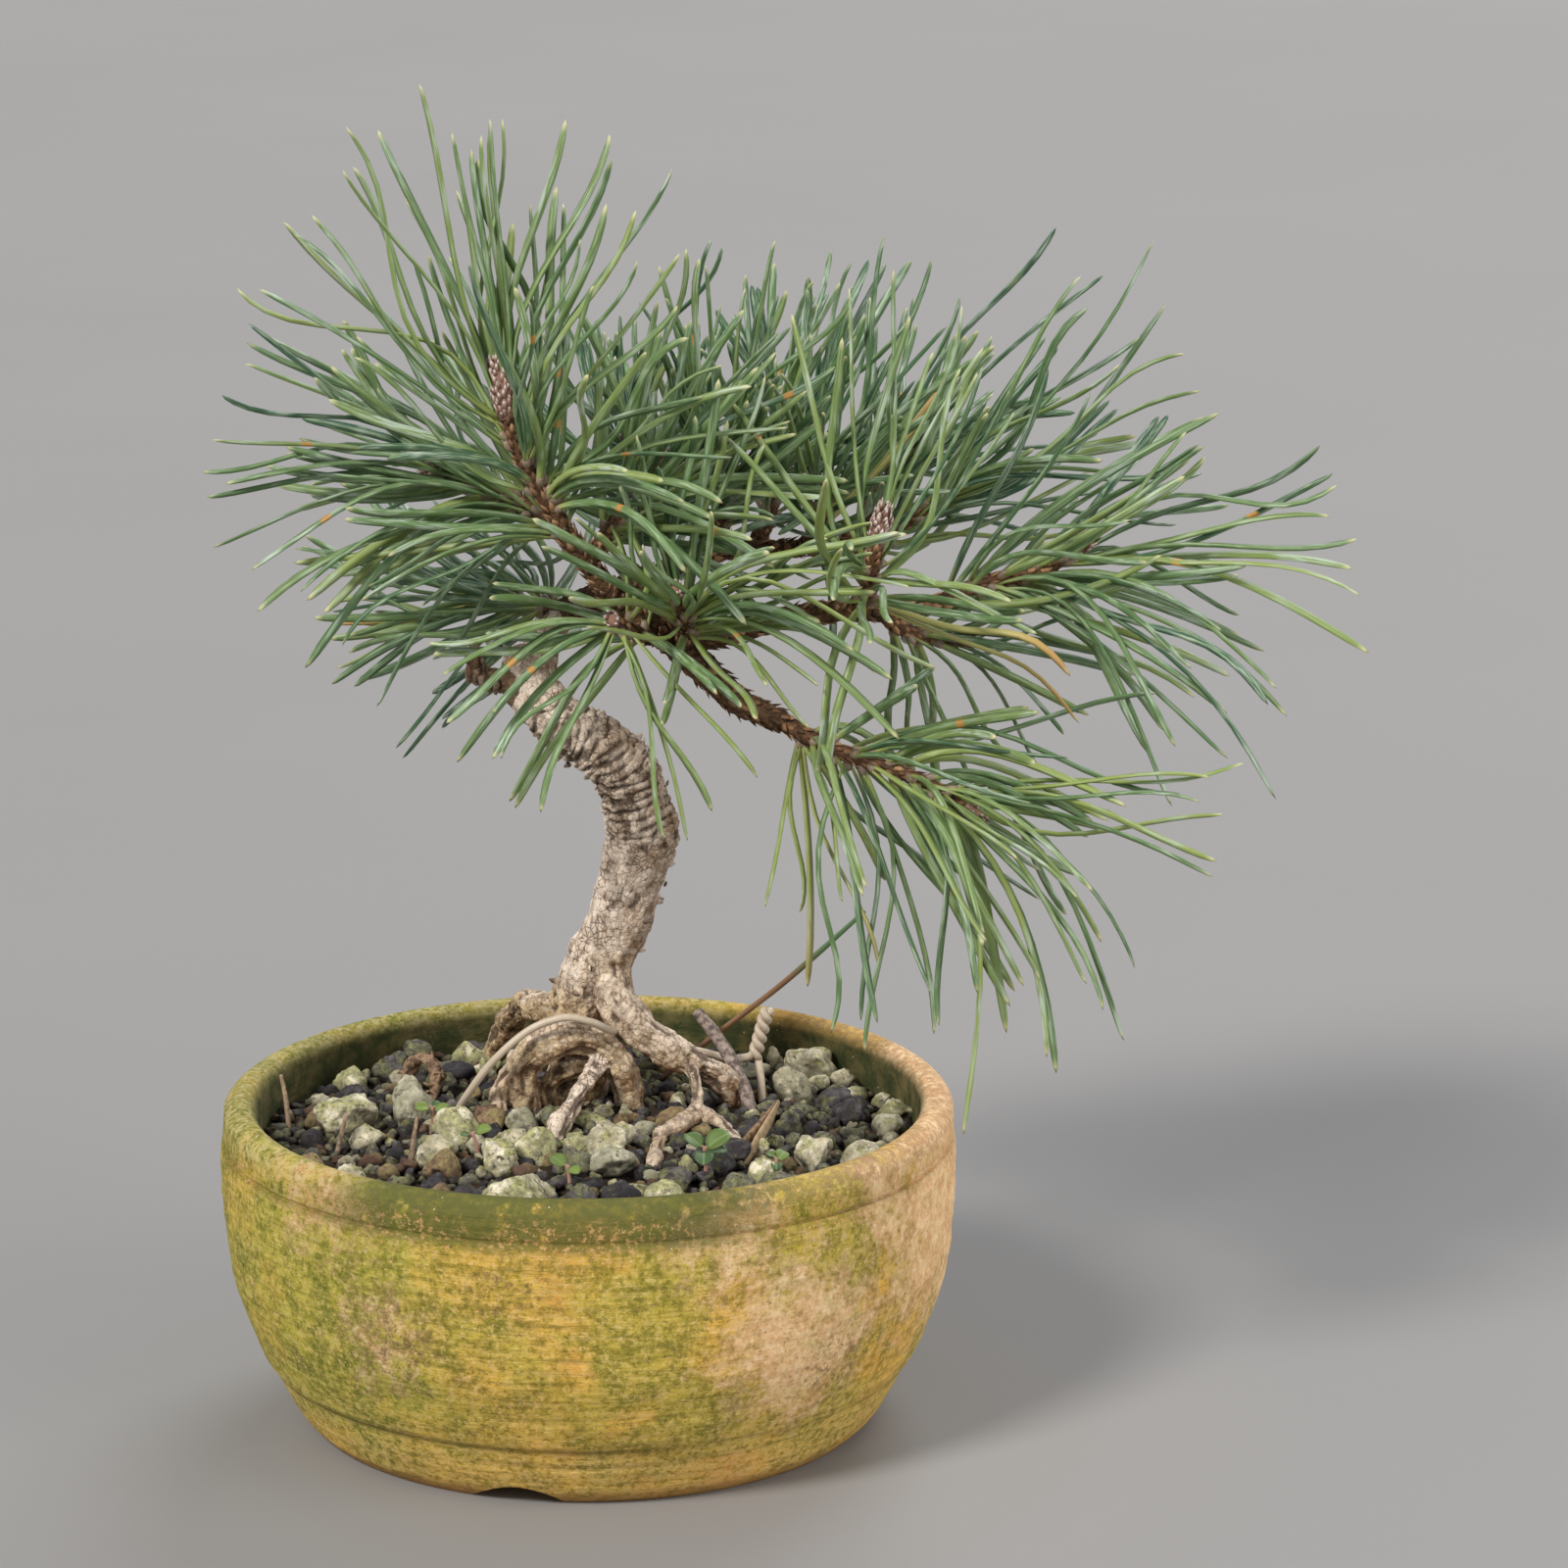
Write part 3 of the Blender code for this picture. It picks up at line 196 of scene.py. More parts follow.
# The long needles that give each tuft its outline: the share of the way along the stem, the tip's
# X, Y and Z, how much the needle leaves upward and then falls, and how dry it is where it is
LONG_NEEDLES = {
    "apex": [(0.95, -41, -10, 272, -0.1), (0.9, -28, -2, 269, 0), (1.0, -22, 2, 266, 0.1),
             (0.9, -13, 1, 269, 0), (0.85, -8, -2, 265, -0.1), (0.9, -18, 4, 262, 0),
             (0.9, 10, -8, 262, -0.3), (0.7, 14, -14, 250, -0.4), (0.9, -51, -6, 254, -0.2),
             (0.8, -60, -4, 246, -0.2), (0.7, -61, -14, 240, 0.1), (0.5, 11, -22, 238, -0.3),
             (0.6, 3, -20, 246, -0.4), (0.95, -34, -16, 264, 0.1), (0.2, 27, -26, 212, 0.3),
             (0.1, 22, -30, 196, 0.4), (0.05, 38, -20, 214, 0.3), (0.0, 34, -22, 188, 0.5),
             (0.0, 26, -28, 178, 0.6), (0.15, 13, -28, 202, 0.4), (0.3, 30, -14, 222, 0.2)],
    "left": [(0.9, -70, 10, 220, 0), (0.9, -72, 5, 211, 0.2), (1.0, -77, 15, 195, 0.1),
             (0.8, -75, 10, 187, 0.3), (0.7, -68, 8, 172, 0.3), (0.5, -57, 4, 165, 0.4),
             (0.3, -45, -2, 156, 0.3)],
    "leader_back": [(0.9, 23, -4, 241, -0.2), (0.6, 34, -8, 229, 0.2), (0.3, 46, -8, 200, 0.3),
                    (0.1, 42, -14, 184, 0.4), (0.5, 38, -6, 212, 0.2), (0.0, 34, -6, 176, 0.5)],
    "crown_left": [(0.9, 25, 48, 236, -0.3)],
    "crown_middle": [(0.9, 44, 30, 236, -0.2), (0.8, 20, 22, 236, -0.2)],
    "crown_right": [(0.9, 66, 30, 238, -0.3), (0.7, 76, 22, 222, 0.3)],
    "right_top": [(0.9, 101, 60, 233, 0.2)],
    "right_back": [(0.9, 119, 50, 228, -0.4), (0.9, 109, 44, 219, 0.2), (0.9, 128, 46, 206, 0.3)],
    "front": [(0.1, 100, -14, 149, 0.5, 1), (0.1, 47, -24, 141, 0.5)],
    "right": [(0.9, 149, 10, 199, -0.3), (0.95, 153, 4, 193, -0.2), (0.9, 153, 8, 179, 0.2),
              (0.95, 158, 0, 165, 0.3), (0.7, 140, -8, 151, 0.4), (0.6, 138, -16, 141, 0.5),
              (0.4, 119, -12, 141, 0.5)],
    "low_right": [(0.9, 130, -20, 137, -0.2), (0.95, 125, -24, 131, 0.3), (0.9, 124, -28, 126, 0.3),
                  (0.9, 110, -24, 94, 0.6), (0.7, 102, -32, 104, 0.5), (0.8, 99, -24, 83, 0.5),
                  (0.8, 87, -30, 78, 0.5), (0.4, 64, -28, 88, 0.3), (0.3, 51, -28, 90, 0.2),
                  (0.6, 77, -34, 96, 0.3), (0.0, 50, -24, 97, 0.1, 0.45), (0.0, 38, -18, 112, 0.3),
                  (0.0, 57, -22, 116, 0.2), (0.3, 118, -10, 146, 0.1)],
    "fork_low": [(0.9, -27, -26, 158, 0.3), (0.9, -17, -28, 150, 0.3), (1.0, -10, -30, 139, 0.3),
                 (0.9, 21, -28, 132, 0.2), (0.8, 28, -24, 133, 0.3), (0.7, -22, -20, 150, 0.5)],
    "fork_up": [(0.8, 68, -30, 174, 0.3), (0.6, 60, -26, 158, 0.6), (0.2, 54, -22, 181, 0.3),
                (0.5, 62, -26, 190, 0.2), (0.1, 50, -20, 168, 0.4), (0.4, 56, -32, 166, 0.6)],
}

# Needles
NEEDLE_ROWS = np.array([0, .05, .12, .21, .31, .41, .51, .61, .71, .80, .88, .94, .98])
NEEDLE_WIDTHS = np.interp(NEEDLE_ROWS, [0, .15, .82, .92, .96, .98], [0.62, 1, 1, .92, .76, .56])
NEEDLE_HALF_WIDTH = 0.90
NEEDLE_SECTION = np.array([(-1, 0), (-0.72, -0.6), (0, -0.92), (0.72, -0.6), (1, 0), (0, 0.1)])
FASCICLE_PITCH = 1.0      # along a stem
SPARSE = 1.5              # times the pitch on the looser shoots
SHEATH_LENGTH = 1.9
CROWN_TOP = 269           # no needle that is placed by chance ends higher
NEEDLE_WAVE = 0.055       # as a share of the length
NEEDLE_TWIST = 0.9        # radians from foot to tip, at most
NEEDLE_LOOSENESS = 0.20
DRY_SHARE = 0.004
SPOTTED_SHARE = 0.05
NO_SPOT = -1.0            # where along a needle its orange spot is, if it has none

# Named stones: the middle's X and Y, size along X, Y and Z, and kind of stone
STONES = [
    (-13, -51, 19, 13, 12, "pumice"), (-17, -26, 10, 9, 11, "pumice"), (-28.5, -30, 9, 8, 8, "red"),
    (-27, -9, 9, 8, 10, "pumice"), (-37, 8, 11, 9, 14, "pumice"), (-50, 2, 13, 11, 13, "pumice"),
    (-50, 22, 8, 7, 7, "lava"), (-43, 44, 8, 8, 7, "lava"), (-28, 53, 9, 7, 8, "pumice"),
    (-30, 36, 9, 7, 7, "lava"), (-10, -21, 8, 7, 9, "pumice"), (4, -17, 10, 8, 10, "pumice"),
    (-1, -30, 8, 7, 8, "lava"), (-29, -47, 9, 7, 7, "red"), (46, 40, 14, 12, 13, "pumice"),
    (42, 25, 7, 7, 10, "pumice"), (54, 10, 8, 7, 8, "lava"), (62, 1, 6, 7, 7, "pumice"),
    (46, -22, 8, 7, 10, "pumice"), (56, -20, 9, 7, 7, "pumice"), (31, -43, 9, 8, 7, "lava"),
    (7, -47, 8, 7, 7, "lava"),
]
STONE_FACETS = 12
FACET_SHARPNESS = 22
LARGE_STONE = 10.5         # stones wider or higher than this have the finest mesh

# Small gravel: least and greatest size, how many, mesh level, and how near two stones may lie
# as a share of their touching distance
GRAVEL = [(5.5, 9.0, 70, 4, 0.86), (3.4, 5.5, 230, 3, 0.84), (2.0, 3.4, 900, 3, 0.78)]
GRAVEL_TRIES = 6
COARSE_KINDS = (0.42, 0.42, 0.16)     # shares of pumice, lava and red lava
# The small gravel is mostly dark lava, partly as painted shade in the gaps between stones
FINE_KINDS = (0.15, 0.65, 0.20)
FINE_SIZE = 4.6

# Loose bits: centre line and radius
LITTER = {
    "dead_stick": [(22, 24, 78, 1.2), (27, 21, 72, 1.4), (32, 14, 64, 1.4), (35, 8.5, 54, 1.3)],
    "straw_sliver": [(39, -1, 66, 0.6), (36, -10, 63.5, 1.5), (33, -17, 61.5, 1.4), (30, -24, 58, 0.7)],
    "fallen_needle": [(57, 23, 100, 0.4), (47, 22, 91, 0.6), (38, 24.6, 82.3, 0.6), (24, 29, 70, 0.6),
                      (14, 33, 60.2, 0.5)],
    "dry_twig": [(-41, 31, 56, 1.3), (-37.5, 28.5, 66, 1.5), (-33, 25, 65, 1.3), (-34, 20, 56, 1.0)],
    "dry_stalk_left": [(-62, 6, 54, 0.55), (-63, 7, 64, 0.5), (-64, 8, 69, 0.35)],
    "dry_stalk_middle": [(-52, -14, 54, 0.5), (-50, -14, 63, 0.45), (-49, -13, 67, 0.35)],
    "dry_stalk_front": [(-36, -24, 54, 0.55), (-35, -23, 63, 0.5), (-34, -21, 69, 0.35)],
}

# Tone from brown to grey, paleness and roughness of the bars among them
LITTER_LOOKS = {
    "dead_stick": (0.75, 0.0, 0.16), "dry_twig": (0.15, 0.0, 0.30), "dry_stalk_left": (0.25, 0.35, 0.12),
    "dry_stalk_middle": (0.35, 0.2, 0.12), "dry_stalk_front": (0.35, 0.15, 0.12),
}

# Seedlings: foot, height, number of leaves, leaf diameter
SEEDLINGS = [
    (24, -33, 8.0, 4, 4.6), (-3, -39, 6.0, 3, 3.2), (-33, -2, 6.5, 3, 3.4), (-22, -17, 5.5, 2, 3.0),
    (38, -31, 5.5, 3, 3.2),
]
LEAF_SIDES = 20

# Torn bark: how many splinters, shreds and flakes
TOP_SPLINTERS = 14
STUB_SPLINTERS = 16
DEAD_SHREDS = 30
TRUNK_FLAKES = 46

# Bark relief
OLD_VOXEL = 0.38
YOUNG_VOXEL = 0.34
RING_PITCH = 1.9
FOLD_PITCH = 4.3
RING_DEPTH = 0.60
FOLD_DEPTH = 1.0
FLAKE_HEIGHT = 0.24
KNOT_HEIGHT = 0.55

FLOOR_REACH = 30.0         # metres from the middle to each side


# ---------------------------------------------------------------- numbers

def unit(vectors):
    """Vectors made one unit long."""
    return vectors / np.linalg.norm(vectors, axis=-1, keepdims=True)


def distances(line):
    """How far along a line each of its rows lies."""
    steps = np.linalg.norm(np.diff(line[:, :3], axis=0), axis=1)
    return np.concatenate([[0], np.cumsum(steps)])


def smooth_line(points, step):
    """Points about step apart on a smooth curve through rows of x, y, z and radius."""
    rows = np.array(points, float)
    rows = np.vstack([2 * rows[0] - rows[1], rows, 2 * rows[-1] - rows[-2]])
    dense = []
    for start in range(1, len(rows) - 2):
        p0, p1, p2, p3 = rows[start - 1:start + 3]
        for t in np.arange(0, 1, 1 / 24):
            square = (2 * p0 - 5 * p1 + 4 * p2 - p3) * t * t
            cube = (3 * p1 - p0 - 3 * p2 + p3) * t ** 3
            dense.append(0.5 * (2 * p1 + (p2 - p0) * t + square + cube))
    dense = np.array([*dense, rows[-2]])
    run = distances(dense)
    at = np.linspace(0, run[-1], max(2, round(run[-1] / step) + 1))
    return np.column_stack([np.interp(at, run, column) for column in dense.T])


def frames_along(line):
    """Unit tangents and two crosswise directions at each point, with no twist."""
    tangents = unit(np.gradient(line[:, :3], axis=0))
    side = np.cross(tangents[0], (0.0, 1.0, 0.2))
    sides = []
    for tangent in tangents:
        side = unit(side - tangent * side.dot(tangent))
        sides.append(side)
    sides = np.array(sides)
    return tangents, sides, np.cross(tangents, sides)


def place_on(at, run, line, frames, turn):
    """Centre, tangent and outward direction at a distance along a line and a turn round it."""
    centre, tangent, side, top = (
        np.array([np.interp(at, run, rows[:, axis]) for axis in range(3)]) for rows in (line, *frames))
    return centre, tangent, unit(side * math.cos(turn) + top * math.sin(turn))


def any_direction(rng):
    """Three random numbers round 0, which point any way when made unit length."""
    return np.array([rng.gauss(0, 1) for _ in range(3)])


def scatter(corners, seed):
    """A steady random value from -1 to 1 for each row of three whole numbers."""
    x, y, z = (corners[..., axis].astype(np.int64) for axis in range(3))
    mixed = (x * 73856093) ^ (y * 19349663) ^ (z * 83492791) ^ (seed * 2654435761)
    mixed = (mixed ^ (mixed >> 13)) * 1274126177 & 0x7FFFFFFF
    mixed = (mixed ^ (mixed >> 15)) * 668265263 & 0x7FFFFFFF
    return ((mixed >> 7) & 0xFFFF) / 32767.5 - 1


def noise(points, seed=0):
    """Smooth noise from about -1 to 1 with features one unit across."""
    cell = np.floor(points)
    part = points - cell
    part = part * part * (3 - 2 * part)
    total = np.zeros(len(points))
    for corner in itertools.product((0, 1), repeat=3):
        weight = np.prod(np.where(corner, part, 1 - part), axis=1)
        total += weight * scatter(cell + corner, seed)
    return total


def fractal(points, seed=0, octaves=3):
    """Noise with ever finer and fainter noise on it."""
    return sum(noise(points * 2 ** k, seed + k) / 2 ** k for k in range(octaves))


def cells(points, seed=0):
    """Distance to the nearest of scattered seeds, one to a unit cell, and that seed's value."""
    base = np.floor(points)
    best = np.full(len(points), 9.0)
    value = np.zeros(len(points))
    for step in itertools.product((-1, 0, 1), repeat=3):
        cell = base + step
        spot = cell + 0.5 + 0.45 * np.column_stack([scatter(cell, seed + k) for k in (1, 2, 3)])
        distance = np.linalg.norm(points - spot, axis=1)
        nearer = distance < best
        best[nearer] = distance[nearer]
        value[nearer] = scatter(cell[nearer], seed + 4)
    return best, value


def smoothstep(values, low, high):
    """Rises from 0 at low to 1 at high, or falls where low is above high."""
    t = np.clip((values - low) / (high - low), 0, 1)
    return t * t * (3 - 2 * t)


# ---------------------------------------------------------------- meshes

def link(name, data):
    """A new object in the scene."""
    thing = bpy.data.objects.new(name, data)
    bpy.context.scene.collection.objects.link(thing)
    return thing


def mesh_of(name, points, faces):
    """A mesh from points in millimetres."""
    mesh = bpy.data.meshes.new(name)
    mesh.from_pydata((points * MM).tolist(), [], faces)
    return mesh


def add_values(mesh, **values):
    """Store one number at each point, under each name."""
    for name, value in values.items():
        attribute = mesh.attributes.new(name, "FLOAT", "POINT")
        attribute.data.foreach_set("value", value.astype(np.float32))


class Skin:
    """Points, faces and values at the points, gathered for one mesh."""

    def __init__(self):
        self.points = []
        self.faces = []
        self.values = {}
        self.count = 0

    def add(self, points, faces, **values):
        """Values are one number, or one for each point; a mesh's parts all give the same ones."""
        for face in faces:
            self.faces.append([self.count + corner for corner in face])
        self.points.append(points)
        for name, value in values.items():
            self.values.setdefault(name, []).append(np.broadcast_to(value, (len(points),)))
        self.count += len(points)

    def make(self, name, material, slot, *nodes):
        mesh = mesh_of(name, np.vstack(self.points), self.faces)
        add_values(mesh, **{key: np.concatenate(values) for key, values in self.values.items()})
        return finish_piece(name, mesh, material, slot, *nodes)


def finish_piece(name, mesh, material, slot, *nodes):
    """Link a finished mesh as a piece that rides on the root and stands for CAD nodes."""
    mesh.materials.append(material)
    mesh.shade_smooth()
    mesh.update()
    piece = link(name, mesh)
    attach(piece, "root")
    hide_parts(*nodes)
    return piece


def ring_faces(rows, count):
    """Quads between rings of points, each ring after the last."""
    faces = []
    for row in range(rows - 1):
        for side in range(count):
            a = row * count + side
            b = row * count + (side + 1) % count
            faces.append((a, b, b + count, a + count))
    return faces


def closed_faces(rows, count):
    """The faces of a bar of rings, closed by a start and an end point that follow the rings."""
    faces = ring_faces(rows, count)
    first = rows * count
    last = (rows - 1) * count
    for side in range(count):
        after = (side + 1) % count
        faces.append((first, after, side))
        faces.append((first + 1, last + side, last + after))
    return faces


def turned_over(faces):
    """Faces that look the other way, each from the same first corner."""
    return [face[:1] + face[:0:-1] for face in faces]


def tube(line, sides, section=None, wobble=None):
    """A closed bar along rows of x, y, z and radius: round with so many sides, or with a section."""
    tangents, across, up = frames_along(line)
    if section is None:
        angles = np.arange(sides) * math.tau / sides
        section = np.column_stack([np.cos(angles), np.sin(angles)])
    radii = line[:, 3, None, None]
    ring = section[None, :, :1] * across[:, None] + section[None, :, 1:] * up[:, None]
    if wobble is not None:
        ring = ring * wobble[:, :, None]
    points = line[:, None, :3] + radii * ring
    start = line[0, :3] - tangents[0] * line[0, 3] * 0.4
    end = line[-1, :3] + tangents[-1] * line[-1, 3] * 0.4
    return np.vstack([points.reshape(-1, 3), start, end]), closed_faces(len(line), len(section))


def tube_values(values, sides):
    """Values by row of a tube, spread over its points."""
    return np.concatenate([np.repeat(values, sides), [values[0], values[-1]]])


def points_of(mesh):
    """A mesh's points, in millimetres."""
    points = np.empty(len(mesh.vertices) * 3, np.float32)
    mesh.vertices.foreach_get("co", points)
    return points.reshape(-1, 3).astype(float) / MM


def skin_over(tubes, voxel, smoothing):
    """One even skin over overlapping tubes, smoothed where they join."""
    whole = Skin()
    for points, faces in tubes:
        whole.add(points, faces)
    mesh = mesh_of("tubes", np.vstack(whole.points), whole.faces)
    guide = link("tubes", mesh)
    remesh = guide.modifiers.new("skin", "REMESH")
    remesh.mode = "VOXEL"
    remesh.voxel_size = voxel * MM
    evaluated = guide.evaluated_get(bpy.context.evaluated_depsgraph_get())
    skin = bpy.data.meshes.new_from_object(evaluated)
    bpy.data.objects.remove(guide)
    bpy.data.meshes.remove(mesh)
    edges = np.empty(len(skin.edges) * 2, np.int32)
    skin.edges.foreach_get("vertices", edges)
    edges = edges.reshape(-1, 2)
    start = np.concatenate([edges[:, 0], edges[:, 1]])
    end = np.concatenate([edges[:, 1], edges[:, 0]])
    points = points_of(skin)
    valence = np.bincount(start, minlength=len(points))[:, None]
    for _ in range(smoothing):
        total = np.column_stack([np.bincount(start, points[end, axis], len(points)) for axis in range(3)])
        points = points + 0.6 * (total / valence - points)
    return skin, points


def normals_of(mesh, points):
    """Sets the mesh's points, and returns its unit normals at them."""
    mesh.vertices.foreach_set("co", (points * MM).astype(np.float32).ravel())
    mesh.update()
    normals = np.empty(len(points) * 3, np.float32)
    mesh.vertex_normals.foreach_get("vector", normals)
    return normals.reshape(-1, 3).astype(float)


def nearest_on(lines, points):
    """For each point, the nearest limb, and its distance along and angle round it."""
    samples = []
    for number, line in enumerate(lines):
        tangents, across, up = frames_along(line)
        run = distances(line)
        for row in range(len(line)):
            samples.append((number, run[row], line[row], tangents[row], across[row], up[row]))
    tree = kdtree.KDTree(len(samples))
    for index, sample in enumerate(samples):
        tree.insert(sample[2][:3], index)
    tree.balance()
    found = [tree.find(point)[1] for point in points]
    limb = np.array([samples[index][0] for index in found])
    run = np.array([samples[index][1] for index in found])
    radius = np.array([samples[index][2][3] for index in found])
    centre = np.array([samples[index][2][:3] for index in found])
    tangent, across, up = (np.array([samples[index][k] for index in found]) for k in (3, 4, 5))
    offset = points - centre
    run = run + np.sum(offset * tangent, axis=1)
    angle = np.arctan2(np.sum(offset * up, axis=1), np.sum(offset * across, axis=1))
    return limb, run, angle, radius


# ---------------------------------------------------------------- materials

# Colours are linear red, green and blue.  In tint, masks and then a strength follow the colours.

class Shader:
    """A material's nodes, made in the order that they feed the Principled shader."""

    def __init__(self, name, roughness, specular):
        self.material = bpy.data.materials.new(name)
        self.material.use_nodes = True
        self.tree = self.material.node_tree
        self.shader = self.tree.nodes["Principled BSDF"]
        self.shader.inputs["Roughness"].default_value = roughness
        self.shader.inputs["Specular IOR Level"].default_value = specular
        self.shader.inputs["Metallic"].default_value = 0.0
        self.place = self.node("ShaderNodeTexCoord").outputs["Object"]

    def node(self, kind, **settings):
        node = self.tree.nodes.new(kind)
        for name, value in settings.items():
            setattr(node, name, value)
        return node

    def feed(self, socket, value):
        if isinstance(value, bpy.types.NodeSocket):
            self.tree.links.new(value, socket)
        elif isinstance(value, tuple) and socket.type == "RGBA":
            socket.default_value = (*value, 1.0)
        else:
            socket.default_value = value

    def value(self, name):
        """A value stored at the mesh's points."""
        return self.node("ShaderNodeAttribute", attribute_name=name).outputs["Fac"]

    def math(self, operation, first, second=0.0, clamp=False):
        node = self.node("ShaderNodeMath", operation=operation, use_clamp=clamp)
        self.feed(node.inputs[0], first)
        self.feed(node.inputs[1], second)
        return node.outputs[0]

    def stretched(self, scale):
        """The object's coordinates, scaled along each axis."""
        node = self.node("ShaderNodeMapping")
        self.feed(node.inputs["Vector"], self.place)
        node.inputs["Scale"].default_value = scale
        return node.outputs[0]

    def axis(self, name):
        node = self.node("ShaderNodeSeparateXYZ")
        self.feed(node.inputs[0], self.place)
        return node.outputs[name]

    def noise(self, size, detail=3.0, roughness=0.55, vector=None, distortion=0.0):
        """Noise from 0 to 1 with features of a size in millimetres, or in units of a vector."""
        node = self.node("ShaderNodeTexNoise")
        self.feed(node.inputs["Vector"], vector or self.place)
        node.inputs["Scale"].default_value = 1.0 / (size if vector else size * MM)
        node.inputs["Detail"].default_value = detail
        node.inputs["Roughness"].default_value = roughness
        node.inputs["Distortion"].default_value = distortion
        return node.outputs["Fac"]

    def voronoi(self, size, feature="F1"):
        """Distance from cells' middles, or edges, in units of a size in millimetres."""
        node = self.node("ShaderNodeTexVoronoi", feature=feature)
        self.feed(node.inputs["Vector"], self.place)
        node.inputs["Scale"].default_value = 1.0 / (size * MM)
        return node.outputs["Distance"]

    def step(self, value, low, high):
        """Rises smoothly from 0 at low to 1 at high, or falls where low is above high."""
        node = self.node("ShaderNodeMapRange", interpolation_type="SMOOTHSTEP")
        self.feed(node.inputs["Value"], value)
        ends = (low, high, 0.0, 1.0) if low < high else (high, low, 1.0, 0.0)
        for socket, end in zip(("From Min", "From Max", "To Min", "To Max"), ends):
            node.inputs[socket].default_value = end
        return node.outputs["Result"]

    def mix(self, factor, first, second):
        node = self.node("ShaderNodeMix", data_type="RGBA")
        self.feed(node.inputs[0], factor)
        self.feed(node.inputs[6], first)
        self.feed(node.inputs[7], second)
        return node.outputs[2]

    def tint(self, color, other, *amounts):
        """A colour with another laid over it, by the product of amounts from 0 to 1."""
        return self.mix(self.times(*amounts), color, other)

    def plus(self, first, second, clamp=False):
        return self.math("ADD", first, second, clamp)

    def times(self, *values):
        product = values[0]
        for value in values[1:]:
            product = self.math("MULTIPLY", product, value)
        return product

    def near(self, x, y, z, size):
        """1 near a point, falling to 0 over a size, both in metres."""
        node = self.node("ShaderNodeVectorMath", operation="DISTANCE")
        self.feed(node.inputs[0], self.place)
        node.inputs[1].default_value = (x, y, z)
        return self.step(node.outputs["Value"], size * 1.5, size * 0.2)

    def bump(self, height, depth, normal=None):
        """Relief of a depth in millimetres where height goes from 0 to 1."""
        node = self.node("ShaderNodeBump")
        self.feed(node.inputs["Height"], height)
        node.inputs["Distance"].default_value = depth * MM
        if normal:
            self.feed(node.inputs["Normal"], normal)
        return node.outputs["Normal"]

    def done(self, color, normal=None):
        self.feed(self.shader.inputs["Base Color"], color)
        if normal:
            self.feed(self.shader.inputs["Normal"], normal)
        return self.material


